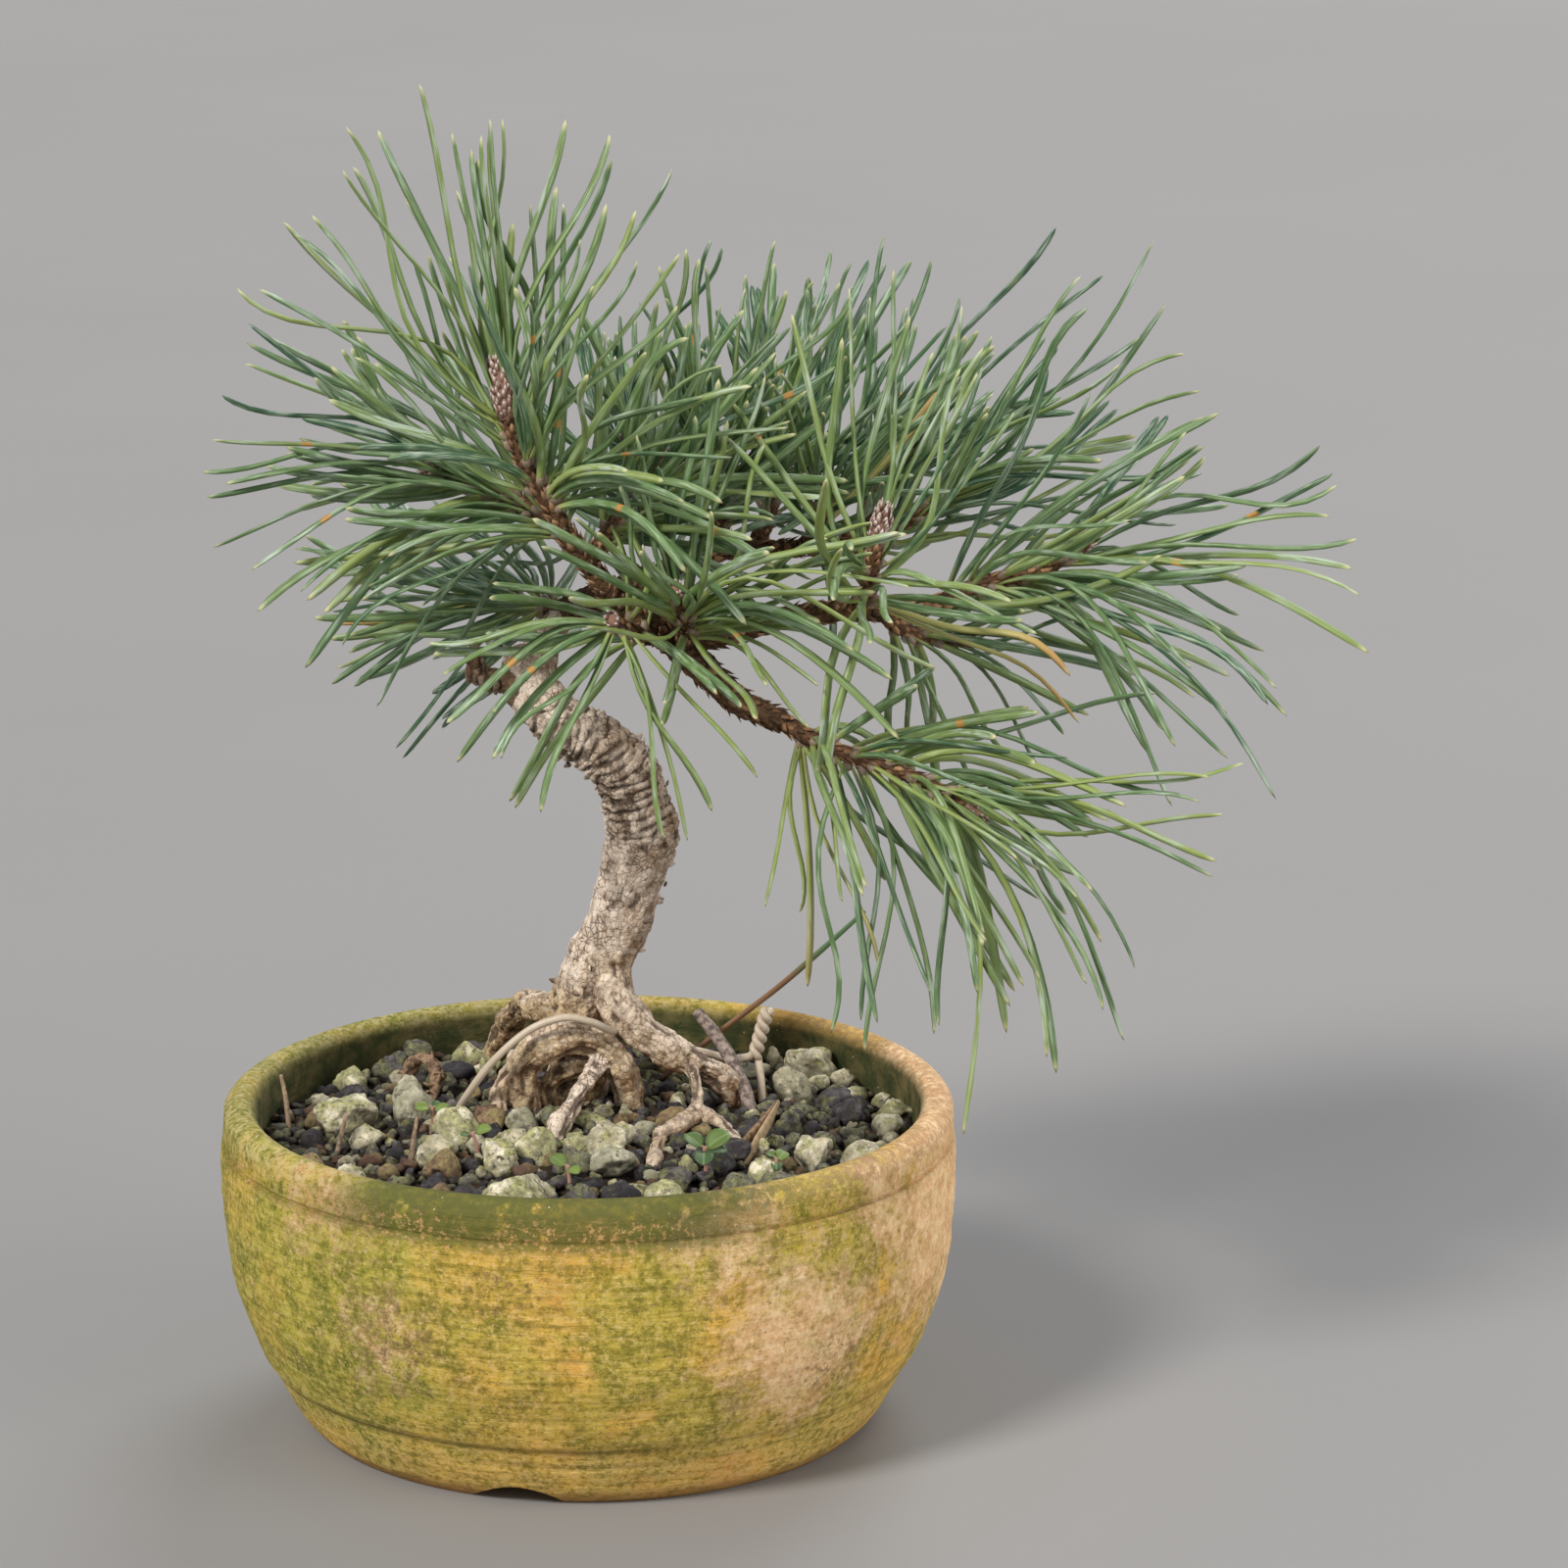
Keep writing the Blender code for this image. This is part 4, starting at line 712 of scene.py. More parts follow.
def terracotta_material():
    """Pink fired clay under olive and yellow algae, worn bare on the right of the front."""
    s = Shader("terracotta_with_algae", 0.88, 0.25)
    x, y, z = s.axis("X"), s.axis("Y"), s.axis("Z")
    streaks = s.noise(1.0, 5, 0.65, s.stretched((70, 70, 800)))
    fine = s.noise(0.55, 3, 0.75)
    grain = s.noise(1.5, 5, 0.8)
    mottle = s.noise(6, 6, 0.68)
    broad = s.noise(30, 3, 0.5, distortion=0.5)
    clay = s.mix(s.step(mottle, 0.35, 0.65), (0.80, 0.45, 0.22), (0.99, 0.69, 0.40))
    clay = s.tint(clay, (1.0, 0.84, 0.58), s.step(grain, 0.50, 0.68), 0.7)
    clay = s.tint(clay, (0.55, 0.37, 0.13), s.step(grain, 0.46, 0.34), 0.6)
    ochre = s.mix(s.step(mottle, 0.34, 0.62), (0.42, 0.275, 0.040), (0.85, 0.50, 0.085))
    ochre = s.tint(ochre, (0.84, 0.54, 0.20), s.step(grain, 0.50, 0.62), 0.85)
    ochre = s.tint(ochre, (0.25, 0.17, 0.03), s.step(grain, 0.47, 0.38), 0.7)
    green = s.mix(s.step(mottle, 0.30, 0.66), (0.20, 0.205, 0.022), (0.50, 0.425, 0.060))
    green = s.tint(green, (0.64, 0.52, 0.16), s.step(grain, 0.50, 0.62), 0.75)
    green = s.tint(green, (0.10, 0.105, 0.02), s.step(grain, 0.47, 0.38), 0.6)
    wander = s.times(s.math("SUBTRACT", broad, 0.5), 0.12)
    # greener to the left and in patches; near the foot more ochre and lighter, which is painted light
    # bounced up from the floor
    left = s.step(s.plus(x, wander), -0.005, -0.050)
    patches = s.step(s.plus(broad, s.times(s.noise(11, 4, 0.5), 0.5)), 0.62, 0.86)
    low = s.times(s.step(z, 0.022, 0.002), -0.35)
    greenness = s.plus(s.plus(s.times(left, 0.62), s.times(patches, 0.75)), low, clamp=True)
    rusty = s.step(s.noise(22, 4, 0.6, distortion=0.4), 0.50, 0.64)
    ochre = s.tint(ochre, (0.74, 0.345, 0.085), rusty, s.step(mottle, 0.30, 0.60), 0.75)
    shaded = s.step(s.noise(17, 4, 0.6, distortion=0.4), 0.50, 0.62)
    green = s.tint(green, (0.135, 0.150, 0.022), shaded, s.step(grain, 0.62, 0.40), 0.65)
    algae = s.tint(ochre, green, greenness)
    # painted bounce light: a lighter ochre near the foot
    algae = s.tint(algae, (0.78, 0.56, 0.19), s.step(z, 0.024, 0.006), s.step(grain, 0.40, 0.56), 0.45)
    algae = s.tint(algae, (0.22, 0.18, 0.032), s.step(streaks, 0.50, 0.66), 0.5)
    algae = s.tint(algae, (0.66, 0.47, 0.15), s.step(streaks, 0.46, 0.34), 0.40)
    # bare clay on the right and in a few patches, with rough edges
    right = s.step(s.plus(x, s.times(wander, 0.25)), 0.053, 0.069)
    high = s.step(z, 0.004, 0.045)
    bare = s.times(right, high)
    for *spot, strength in BARE_PATCHES:
        bare = s.math("MAXIMUM", bare, s.times(s.near(*spot), strength))
    rough_edge = s.math("SUBTRACT", s.plus(s.noise(1.6, 6, 0.8), s.noise(5.0, 4, 0.6)), 1.0)
    bare = s.step(s.plus(bare, s.times(rough_edge, 1.8)), 0.15, 1.0)
    color = s.tint(algae, clay, bare, 0.85)
    # pale and dark flecks, and dark stains
    flecks = s.times(s.step(s.noise(0.9, 4, 0.75), 0.58, 0.66), s.step(s.noise(14, 3), 0.36, 0.56))
    color = s.tint(color, (0.88, 0.58, 0.30), flecks, 0.85)
    dark_flecks = s.times(s.step(s.noise(1.1, 4, 0.75), 0.58, 0.66), s.step(s.noise(11, 3), 0.40, 0.60))
    color = s.tint(color, (0.17, 0.13, 0.03), dark_flecks, 0.6)
    stained = 0.0
    for spot in STAINS:
        stained = s.math("MAXIMUM", stained, s.near(*spot))
    smudge = s.times(s.step(s.noise(2.2, 6, 0.8), 0.50, 0.60), stained)
    color = s.tint(color, (0.17, 0.10, 0.06), smudge, 0.7)
    # the lip: dark at the front with a dark band under it, mossy behind, pale left, pink right
    lip = s.step(s.plus(z, s.times(s.math("SUBTRACT", mottle, 0.5), 0.006)), 0.062, 0.066)
    front = s.step(s.plus(x, wander), 0.045, 0.0)
    band = s.times(s.step(z, 0.0565, 0.0600), s.step(x, 0.040, 0.022), s.step(x, -0.062, -0.035))
    band = s.times(band, s.step(y, -0.050, -0.064), s.step(s.noise(4, 5, 0.7), 0.28, 0.46), 0.85)
    color = s.tint(color, (0.120, 0.130, 0.030), band)
    dark_lip = s.times(lip, s.step(s.noise(2.5, 5, 0.7), 0.40, 0.54), s.step(y, -0.055, -0.066), 0.8)
    color = s.tint(color, (0.12, 0.125, 0.035), dark_lip)
    moss = s.times(lip, s.step(y, -0.05, 0.02), front, s.step(mottle, 0.36, 0.60))
    color = s.tint(color, (0.14, 0.16, 0.045), moss, 0.75)
    bright_lip = s.times(lip, s.step(y, -0.066, -0.045), s.step(grain, 0.44, 0.60))
    color = s.tint(color, (0.60, 0.49, 0.27), bright_lip, s.step(x, 0.045, 0.01), 0.6)
    pink_lip = s.times(lip, s.step(x, 0.030, 0.058), s.step(grain, 0.62, 0.40), 0.7)
    color = s.tint(color, (0.50, 0.30, 0.185), pink_lip)
    # the dark inside, the brown foot, and orange wear along the collar
    inner = s.mix(s.step(mottle, 0.38, 0.66), (0.045, 0.055, 0.018), (0.16, 0.13, 0.05))
    color = s.tint(color, inner, s.value("inside"), s.step(z, 0.0682, 0.0645))
    color = s.tint(color, (0.34, 0.16, 0.06), s.step(z, 0.005, 0.0), 0.7)
    worn = s.times(s.step(z, 0.054, 0.059), s.step(z, 0.066, 0.062),
                   s.step(s.noise(1.3, 5, 0.75), 0.52, 0.60))
    outside = s.math("SUBTRACT", 1.0, s.value("inside"))
    worn = s.times(worn, s.step(s.noise(12, 3), 0.40, 0.56), outside, 0.75)
    color = s.tint(color, (0.80, 0.46, 0.20), worn)
    # pale spots, and dirt in the cut lines
    spots = s.times(s.step(s.voronoi(1.7), 0.12, 0.05), s.step(s.noise(5, 1), 0.58, 0.64))
    color = s.tint(color, (0.85, 0.78, 0.58), spots)
    color = s.tint(color, (0.10, 0.08, 0.02), s.value("groove"), s.noise(3, 3), 0.9)
    normal = s.bump(fine, 0.14)
    normal = s.bump(grain, 0.24, normal)
    normal = s.bump(streaks, 0.34, normal)
    return s.done(color, s.bump(bare, -0.15, normal))


def bark_material():
    """Beige-grey bark with brown patches and dark specks, and scaly brown on young wood."""
    s = Shader("bark", 0.88, 0.25)
    mottle = s.noise(2.6, 6, 0.72)
    broad = s.noise(10, 4, 0.6)
    fine = s.noise(0.7, 4, 0.75)
    cracks = s.voronoi(1.5, "DISTANCE_TO_EDGE")
    old = s.mix(s.step(mottle, 0.34, 0.50), (0.56, 0.39, 0.27), (0.96, 0.79, 0.64))
    old = s.tint(old, (0.40, 0.25, 0.145), s.step(broad, 0.50, 0.64), 0.55)
    old = s.tint(old, (0.96, 0.88, 0.80), s.step(fine, 0.50, 0.66), 0.65)
    old = s.tint(old, (0.18, 0.12, 0.08), s.step(fine, 0.41, 0.31), 0.6)
    old = s.tint(old, (0.08, 0.05, 0.032), s.step(s.noise(1.2, 4, 0.7), 0.60, 0.67), 0.85)
    old = s.tint(old, (0.07, 0.045, 0.03), s.step(cracks, 0.09, 0.0), s.step(s.noise(5, 2), 0.46, 0.58),
                 0.8)
    young = s.mix(s.step(mottle, 0.35, 0.65), (0.06, 0.032, 0.018), (0.20, 0.105, 0.05))
    young = s.tint(young, (0.46, 0.30, 0.17), s.step(fine, 0.55, 0.75), 0.5)
    bands = s.noise(1.0, 4, 0.7, s.stretched((900, 900, 260)))
    old = s.tint(old, (0.16, 0.10, 0.065), s.step(bands, 0.57, 0.64), 0.7)
    # painted shade: browner patches on the right side, which faces away from the key light
    old = s.tint(old, (0.40, 0.27, 0.17), s.step(s.axis("X"), 0.0, 0.020), s.step(broad, 0.40, 0.60), 0.45)
    root = s.mix(s.step(mottle, 0.38, 0.58), (0.19, 0.105, 0.045), (0.74, 0.55, 0.32))
    root = s.tint(root, (0.85, 0.74, 0.56), s.step(fine, 0.52, 0.68), 0.6)
    old = s.tint(old, root, s.value("root"))
    color = s.tint(old, young, s.value("young"))
    # painted shade: browner on undersides, most on the roots, and on the trunk's side that faces right,
    # away from the key light
    color = s.tint(color, (0.40, 0.205, 0.095), s.value("under"), s.step(mottle, 0.66, 0.40), 0.9)
    # painted shade: dark in the creases of rings and folds, in hollows, at flake edges and between leaf
    # scars
    color = s.tint(color, (0.075, 0.045, 0.027), s.step(s.value("crease"), 0.15, 0.95), 0.85)
    normal = s.bump(fine, 0.22)
    normal = s.bump(s.step(cracks, 0.0, 0.12), 0.12, normal)
    return s.done(color, s.bump(mottle, 0.5, normal))


def scale_material():
    """The papery brown scales on young wood, tan and orange-brown where they catch light."""
    s = Shader("bark_scales", 0.8, 0.3)
    tone = s.value("tone")
    color = s.mix(s.step(tone, 0.0, 0.6), (0.055, 0.028, 0.016), (0.29, 0.145, 0.070))
    color = s.tint(color, (0.56, 0.32, 0.16), s.step(tone, 0.55, 0.9))
    color = s.tint(color, (0.44, 0.32, 0.22), s.step(s.value("along"), 0.5, 1.0), 0.45)
    return s.done(s.tint(color, (0.10, 0.05, 0.025), s.noise(0.7, 3), 0.5),
                  s.bump(s.noise(0.5, 2), 0.1))


def bud_material():
    """Pinkish-brown bud scales with pale resin on their fringes."""
    s = Shader("buds", 0.7, 0.35)
    color = s.mix(s.value("tone"), (0.20, 0.095, 0.065), (0.44, 0.27, 0.21))
    pale = s.times(s.step(s.value("along"), 0.30, 0.85), s.step(s.noise(0.8, 3), 0.3, 0.55))
    return s.done(s.tint(color, (0.72, 0.66, 0.62), pale, s.value("resin")),
                  s.bump(s.noise(0.5, 2), 0.08))


def needle_material():
    """Blue-green to yellow-green needles, with pale lines of pores and straw-coloured tips."""
    s = Shader("needles", 0.46, 0.45)
    along, tone, across = s.value("along"), s.value("tone"), s.value("across")
    color = s.mix(s.step(tone, 0.0, 0.55), (0.040, 0.108, 0.060), (0.122, 0.214, 0.072))
    color = s.tint(color, (0.27, 0.34, 0.085), s.step(tone, 0.45, 1.0))
    long_way = s.node("ShaderNodeCombineXYZ")
    s.feed(long_way.inputs[0], s.times(along, 9.0))
    s.feed(long_way.inputs[1], s.times(across, 2.6))
    s.feed(long_way.inputs[2], s.times(tone, 97.0))
    lines = s.noise(1.0, 2, 0.5, long_way.outputs[0])
    color = s.tint(color, (0.36, 0.46, 0.27), s.step(lines, 0.46, 0.64), 0.6)
    wax = s.times(s.step(s.noise(14, 2, 0.5), 0.46, 0.66), s.step(along, 0.15, 0.8),
                  s.step(lines, 0.38, 0.62))
    color = s.tint(color, (0.50, 0.60, 0.50), wax, 0.75)
    color = s.tint(color, (0.40, 0.44, 0.12), s.step(along, 0.16, 0.0), 0.75)
    color = s.tint(color, s.mix(s.step(along, 0.5, 1.0), (0.42, 0.40, 0.13), (0.50, 0.30, 0.10)),
                   s.value("dry"))
    from_spot = s.math("ABSOLUTE", s.math("SUBTRACT", along, s.value("spot")))
    color = s.tint(color, (0.55, 0.26, 0.05), s.step(from_spot, 0.03, 0.012), 0.85)
    color = s.tint(color, (0.66, 0.62, 0.34), s.step(along, 0.95, 0.99), s.step(tone, 0.1, 0.6), 0.8)
    sheath = s.mix(s.noise(0.8, 2), (0.16, 0.10, 0.06), (0.42, 0.33, 0.25))
    color = s.tint(color, sheath, s.value("sheath"))
    return s.done(color, s.bump(lines, 0.06))


def stone_material(name, base, other, moss, pits):
    """Broken stone with pits and specks, and moss on its upper sides."""
    s = Shader(name, 0.92, 0.2)
    tone = s.value("tone")
    fine = s.noise(0.9, 4, 0.7)
    color = s.mix(s.step(s.plus(s.noise(3.0, 4, 0.6), s.times(tone, 0.3)), 0.45, 0.85), base, other)
    color = s.tint(color, tuple(min(1.0, c * 1.45) for c in other), s.step(fine, 0.52, 0.72), 0.55)
    cool = tuple(c * shift for c, shift in zip(base, (0.62, 0.80, 1.0)))
    color = s.tint(color, cool, s.step(tone, 0.30, 0.0), 0.4)
    up = s.node("ShaderNodeSeparateXYZ")
    s.feed(up.inputs[0], s.node("ShaderNodeNewGeometry").outputs["Normal"])
    damp = s.plus(s.noise(3.5, 4, 0.65), s.times(tone, 0.25))
    mossy = s.times(s.step(up.outputs["Z"], -0.7, 0.4), s.step(damp, 0.56, 0.72), moss)
    green = s.mix(s.step(s.noise(1.2, 3, 0.7), 0.35, 0.65), (0.085, 0.10, 0.02), (0.42, 0.42, 0.12))
    color = s.tint(color, green, mossy)
    holes = s.times(s.step(s.noise(0.9, 3, 0.7), 0.56, 0.64), s.step(s.noise(2.6, 2), 0.40, 0.60))
    color = s.tint(color, tuple(c * 0.25 for c in base), holes, pits)
    # painted shade: dark on the sides that face down
    color = s.tint(color, (0.025, 0.02, 0.016), s.step(up.outputs["Z"], 0.15, -0.6), 0.75)
    # painted shade: dark low down, near the soil, in the gaps between stones
    color = s.tint(color, (0.018, 0.014, 0.011), s.step(s.axis("Z"), 0.0620, 0.0575), 0.8)
    dirt = s.times(s.step(s.noise(2.2, 4, 0.7), 0.52, 0.62), 0.45)
    color = s.tint(color, tuple(c * 0.30 for c in base), dirt)
    normal = s.bump(fine, 0.45)
    return s.done(color, s.bump(holes, -0.35 * pits, normal))


def soil_material():
    """Dark crumbs with a few lighter grains."""
    s = Shader("soil", 0.95, 0.15)
    # near black, partly painted shade in the gaps between stones
    color = s.mix(s.noise(2.0, 5, 0.7), (0.012, 0.009, 0.007), (0.07, 0.048, 0.034))
    color = s.tint(color, (0.16, 0.11, 0.07), s.step(s.noise(0.9, 3, 0.6), 0.62, 0.75))
    return s.done(color, s.bump(s.noise(1.1, 4, 0.75), 0.6))


def wire_material():
    """Dull tan wire with small dark stains."""
    s = Shader("anchor_wire", 0.42, 0.5)
    color = s.mix(s.noise(3.0, 4, 0.6), (0.50, 0.40, 0.29), (0.70, 0.59, 0.46))
    color = s.tint(color, (0.28, 0.19, 0.12), s.step(s.noise(0.8, 3, 0.6), 0.60, 0.72), 0.5)
    return s.done(color, s.bump(s.noise(0.7, 3), 0.04))


def litter_material():
    """Weathered dead wood and straw, from grey to brown by its tone."""
    s = Shader("litter", 0.88, 0.25)
    fibre = s.noise(1.4, 4, 0.65)
    brown = s.mix(s.step(fibre, 0.35, 0.65), (0.075, 0.038, 0.022), (0.36, 0.22, 0.12))
    grey = s.mix(s.step(fibre, 0.35, 0.65), (0.13, 0.10, 0.09), (0.42, 0.36, 0.33))
    color = s.mix(s.value("tone"), brown, grey)
    color = s.tint(color, (0.62, 0.47, 0.29), s.value("pale"))
    return s.done(color, s.bump(fibre, 0.25))


def fallen_needle_material():
    """Green at one end, and fading to brown along the needle."""
    s = Shader("fallen_needle", 0.5, 0.4)
    fade = s.plus(s.value("along"), s.times(s.noise(3, 2), 0.25))
    color = s.mix(s.step(fade, 0.3, 0.55), (0.11, 0.21, 0.09), (0.30, 0.17, 0.09))
    return s.done(s.tint(color, (0.16, 0.09, 0.06), s.step(fade, 0.75, 1.0)), s.bump(s.noise(1.2, 2), 0.05))


def seedling_material():
    """Soft green leaves with paler veins, on pink stalks."""
    s = Shader("seedlings", 0.5, 0.4)
    tone = s.value("tone")
    green = s.mix(s.step(tone, 0.2, 0.8), (0.055, 0.105, 0.040), (0.20, 0.27, 0.05))
    green = s.tint(green, (0.34, 0.44, 0.18), s.step(s.value("vein"), 0.18, 0.0), 0.45)
    green = s.tint(green, (0.07, 0.14, 0.05), s.noise(1.5, 3), 0.35)
    return s.done(s.tint(green, (0.46, 0.25, 0.19), s.value("stalk")), s.bump(s.noise(0.8, 2), 0.05))


def mesh_material():
    """Black plastic, dusty in places."""
    s = Shader("drain_mesh", 0.55, 0.4)
    return s.done(s.mix(s.noise(3, 4), (0.012, 0.012, 0.013), (0.05, 0.045, 0.04)),
                  s.bump(s.noise(0.8, 3), 0.08))


def floor_material():
    """An even, pale grey."""
    s = Shader("floor", 0.75, 0.3)
    return s.done(s.mix(s.noise(300, 3), (0.270, 0.262, 0.258), (0.295, 0.287, 0.282)))


# ---------------------------------------------------------------- pot

def pot_profile():
    """Radius and height from the floor's middle over the lip to the base's, and the inside rows."""
    lip_height = POT_HEIGHT - LIP_RADIUS
    lip_middle = RIM_RADIUS - LIP_RADIUS
    lip = []
    for degrees in range(180, -1, -12):
        angle = math.radians(degrees)
        lip.append((lip_middle + LIP_RADIUS * math.cos(angle), lip_height + LIP_RADIUS * math.sin(angle)))
    inner = smooth_line([(radius, 0, height, 0) for radius, height in INNER_WALL], 1.2)[:, (0, 2)]
    outer = smooth_line([(radius, 0, height, 0) for radius, height in OUTER_WALL], 0.55)[:, (0, 2)]
    floor = [(radius, FLOOR) for radius in (10, 20, 30, 40)]
    base = [(radius, 0.0) for radius in (50, 40, 30, 20, 10)]
    inside = len(floor) + len(inner) + 5      # rows, with the first few of the lip
    return np.array([*floor, *inner, *lip, *outer, *base]), inside


def make_pot(material):
    """Hand-thrown, with faint rings and a slight wander, then cut by the groove and the holes."""
    profile, inside_rows = pot_profile()
    angles = np.arange(POT_SIDES) * math.tau / POT_SIDES
    radius = np.repeat(profile[:, 0], POT_SIDES)
    height = np.repeat(profile[:, 1], POT_SIDES)
    around = np.tile(angles, len(profile))
    inside = np.repeat(np.arange(len(profile)) < inside_rows, POT_SIDES).astype(float)
    drift = np.column_stack([np.cos(around) * 1.3, np.sin(around) * 1.3, height / 26])
    rings = np.column_stack([np.cos(around) * 0.8, np.sin(around) * 0.8,
                             height / 1.5 + np.sin(around) * 0.3])
    wall = smoothstep(height, 1.0, 6.0)
    ripple = 0.35 * noise(drift, 3) + 0.13 * noise(rings, 5) + 0.07 * noise(rings * 2.3, 6)
    radius = radius + wall * ripple
    lip = smoothstep(height, POT_HEIGHT - 3, POT_HEIGHT)
    height = height - lip * 0.35 * (1 + noise(drift * 0.9, 8)) / 2
    upper = np.exp(-((height - UPPER_LINE) / UPPER_LINE_WIDTH) ** 2)
    lower = np.exp(-((height - LOWER_LINE) / LOWER_LINE_WIDTH) ** 2)
    groove = (upper + lower) * (1 - inside) * smoothstep(noise(drift * 2, 9), -0.9, 0.3)
    points = np.column_stack([radius * np.cos(around), radius * np.sin(around), height])
    points = np.vstack([points, (0, 0, FLOOR), (0, 0, 0)])
    faces = turned_over(closed_faces(len(profile), POT_SIDES))
    skin = Skin()
    skin.add(points, faces, inside=np.append(inside, (1, 0)), groove=np.append(groove, (0, 0)))
    pot = skin.make("pot_body", material, "terracotta", "pot")
    half = CHANNEL_WIDTH / 2
    bend = (half * half + CHANNEL_HEIGHT ** 2) / (2 * CHANNEL_HEIGHT)
    wander = 0.35 * np.sin(np.linspace(0, 40, 61))
    channel = [(CHANNEL_X + x, y, CHANNEL_HEIGHT - bend, bend)
               for x, y in zip(wander, np.linspace(-90, 90, 61))]
    cut(pot, *tube(np.array(channel), 128))
    for y in (DRAIN_Y, -DRAIN_Y):
        hole = [(CHANNEL_X, y, -5.0, DRAIN_RADIUS), (CHANNEL_X, y, 2 * FLOOR, DRAIN_RADIUS)]
        cut(pot, *tube(np.array(hole), 48))


def cut(piece, points, faces):
    """Take a closed shape away from a piece's mesh."""
    cutter = link("cutter", mesh_of("cutter", points, faces))
    modifier = piece.modifiers.new("cut", "BOOLEAN")
    modifier.operation = "DIFFERENCE"
    modifier.solver = "MANIFOLD"
    modifier.object = cutter
    evaluated = piece.evaluated_get(bpy.context.evaluated_depsgraph_get())
    result = bpy.data.meshes.new_from_object(evaluated)
    piece.modifiers.clear()
    piece.data = result
    bpy.data.objects.remove(cutter)


# ---------------------------------------------------------------- wood

TRUNK_LINE = smooth_line(TRUNK["trunk"], 3.0)


def split_shoot(points):
    """The bare foot of a shoot, which belongs to the wood, and its leafy part."""
    line = smooth_line([(*point, SHOOT_RADIUS) for point in points], 1.0)
    return line[:BARE_LENGTH + 1], line[BARE_LENGTH - 1:]


def ring_folds(run, points, pitch, width, start, end, seed):
    """Creases round the trunk between two distances along it, from 0 to 1."""
    window = smoothstep(run, start, start + 7) * (1 - smoothstep(run, end - 7, end))
    drift = noise(points / 6.0, seed) * 0.9 + noise(points / 2.4, seed + 1) * 0.30
    phase = run / pitch + drift
    part = np.abs(phase - np.round(phase))
    depth = np.clip(0.75 + 0.5 * noise(points / 3.2, seed + 2), 0, 1)
    return window * np.exp(-(part / width) ** 2) * depth


def lumpy_tube(line, sides, seed, amount):
    """A bar whose cross-section wanders from round."""
    rows = []
    for side in range(sides):
        around = side * math.tau / sides
        spots = np.column_stack([np.arange(len(line)) / 5.0 + math.cos(around),
                                 np.full(len(line), seed * 9.0 + math.sin(around) * 1.2),
                                 np.full(len(line), math.cos(around) * 0.8)])
        rows.append(1 + amount * noise(spots, 31))
    return tube(line, sides, wobble=np.array(rows).T)


def make_old_wood(material):
    """Trunk and surface roots, one skin with folds, knots, fissures and flaking bark."""
    limbs = [*TRUNK.values(), *ROOTS.values(), *JOINTS.values()]
    lines = [smooth_line(points, 1.2) for points in limbs]
    joints_from = len(lines) - len(JOINTS)
    tubes = [lumpy_tube(line, 28 if number == 0 else 16, number, 0.13) for number, line in enumerate(lines)]
    mesh, points = skin_over(tubes, OLD_VOXEL, 3)
    limb, run, angle, radius = nearest_on(lines, points)
    is_trunk = (limb == 0).astype(float)
    is_root = ((limb >= len(TRUNK)) & (limb < joints_from)).astype(float)
    normals = normals_of(mesh, points)
    rings = is_trunk * ring_folds(run, points, RING_PITCH, 0.17, 64.0, 110.0, 21)
    concave = smoothstep(normals @ np.array((-0.75, -0.2, -0.6)), -0.1, 0.7)
    folds = is_trunk * concave * ring_folds(run, points, FOLD_PITCH, 0.20, 72.0, 112.0, 25)
    lumps = fractal(points / 7.5, 41, 2) * 0.50 + fractal(points / 2.4, 43, 3) * 0.22
    along_limb = np.column_stack([run / 6.0, np.cos(angle) * radius / 1.2, np.sin(angle) * radius / 1.2])
    strands = fractal(along_limb + limb[:, None] * 7.0, 45, 3) * (0.16 + 0.36 * is_root)
    plates, plate_value = cells(points / (2.2, 2.2, 3.6), 47)
    flake = smoothstep(plate_value, -0.05, 0.15) * smoothstep(plates, 0.60, 0.45)
    knots, knot_value = cells(points / 9.0, 51)
    knot = smoothstep(knots, 0.20, 0.05) * (knot_value > 0.1) * is_trunk
    height = lumps + strands + FLAKE_HEIGHT * flake + KNOT_HEIGHT * knot
    height = height - RING_DEPTH * rings - FOLD_DEPTH * folds
    points = points + normals * height[:, None]
    final_normals = normals_of(mesh, points)
    hollow = smoothstep(-strands - lumps * 0.4, 0.12, 0.40)
    # painted shade in the ring and fold creases, the hollows between strands and lumps, and at the flake
    # edges
    crease = np.clip(rings * 0.9 + folds + hollow * 0.8 + 0.5 * smoothstep(plates, 0.50, 0.62), 0, 1)
    # Painted shade: undersides, most of all on the roots, and the trunk's side that faces right, away from
    # the key light, get the brown under colour
    painted_underside_shade = smoothstep(-final_normals[:, 2] + 0.5 * final_normals[:, 0], -0.1, 0.6)
    painted_right_shade = 0.60 * smoothstep(final_normals[:, 0], 0.0, 0.9) * (1 - is_root)
    under = np.maximum(painted_underside_shade * (0.15 + 0.85 * is_root), painted_right_shade)
    # the trunk, the dead end, the roots and the two joints
    browned = np.array([0.0, 0.6, *(ROOT_BROWN[name] for name in ROOTS), 0.0, 0.0])
    # Roots are less brown on top: partly pale weathered wood, partly painted light on their tops
    top = smoothstep(final_normals[:, 2], 0.2, 0.8)
    broken = is_trunk * smoothstep(points[:, 2], 153, 157)
    foot = is_trunk * smoothstep(points[:, 2], 89, 81) * smoothstep(points[:, 0], 4, -2)
    add_values(mesh, crease=crease, under=under,
               young=0.85 * (limb == 1) + 0.35 * (limb >= joints_from) + 0.7 * broken,
               root=np.maximum(browned[limb] * (1 - 0.60 * top), 0.85 * foot))
    make_torn_ends(material, lines)
    finish_piece("trunk_and_roots", mesh, material, "bark", "tree_wood")


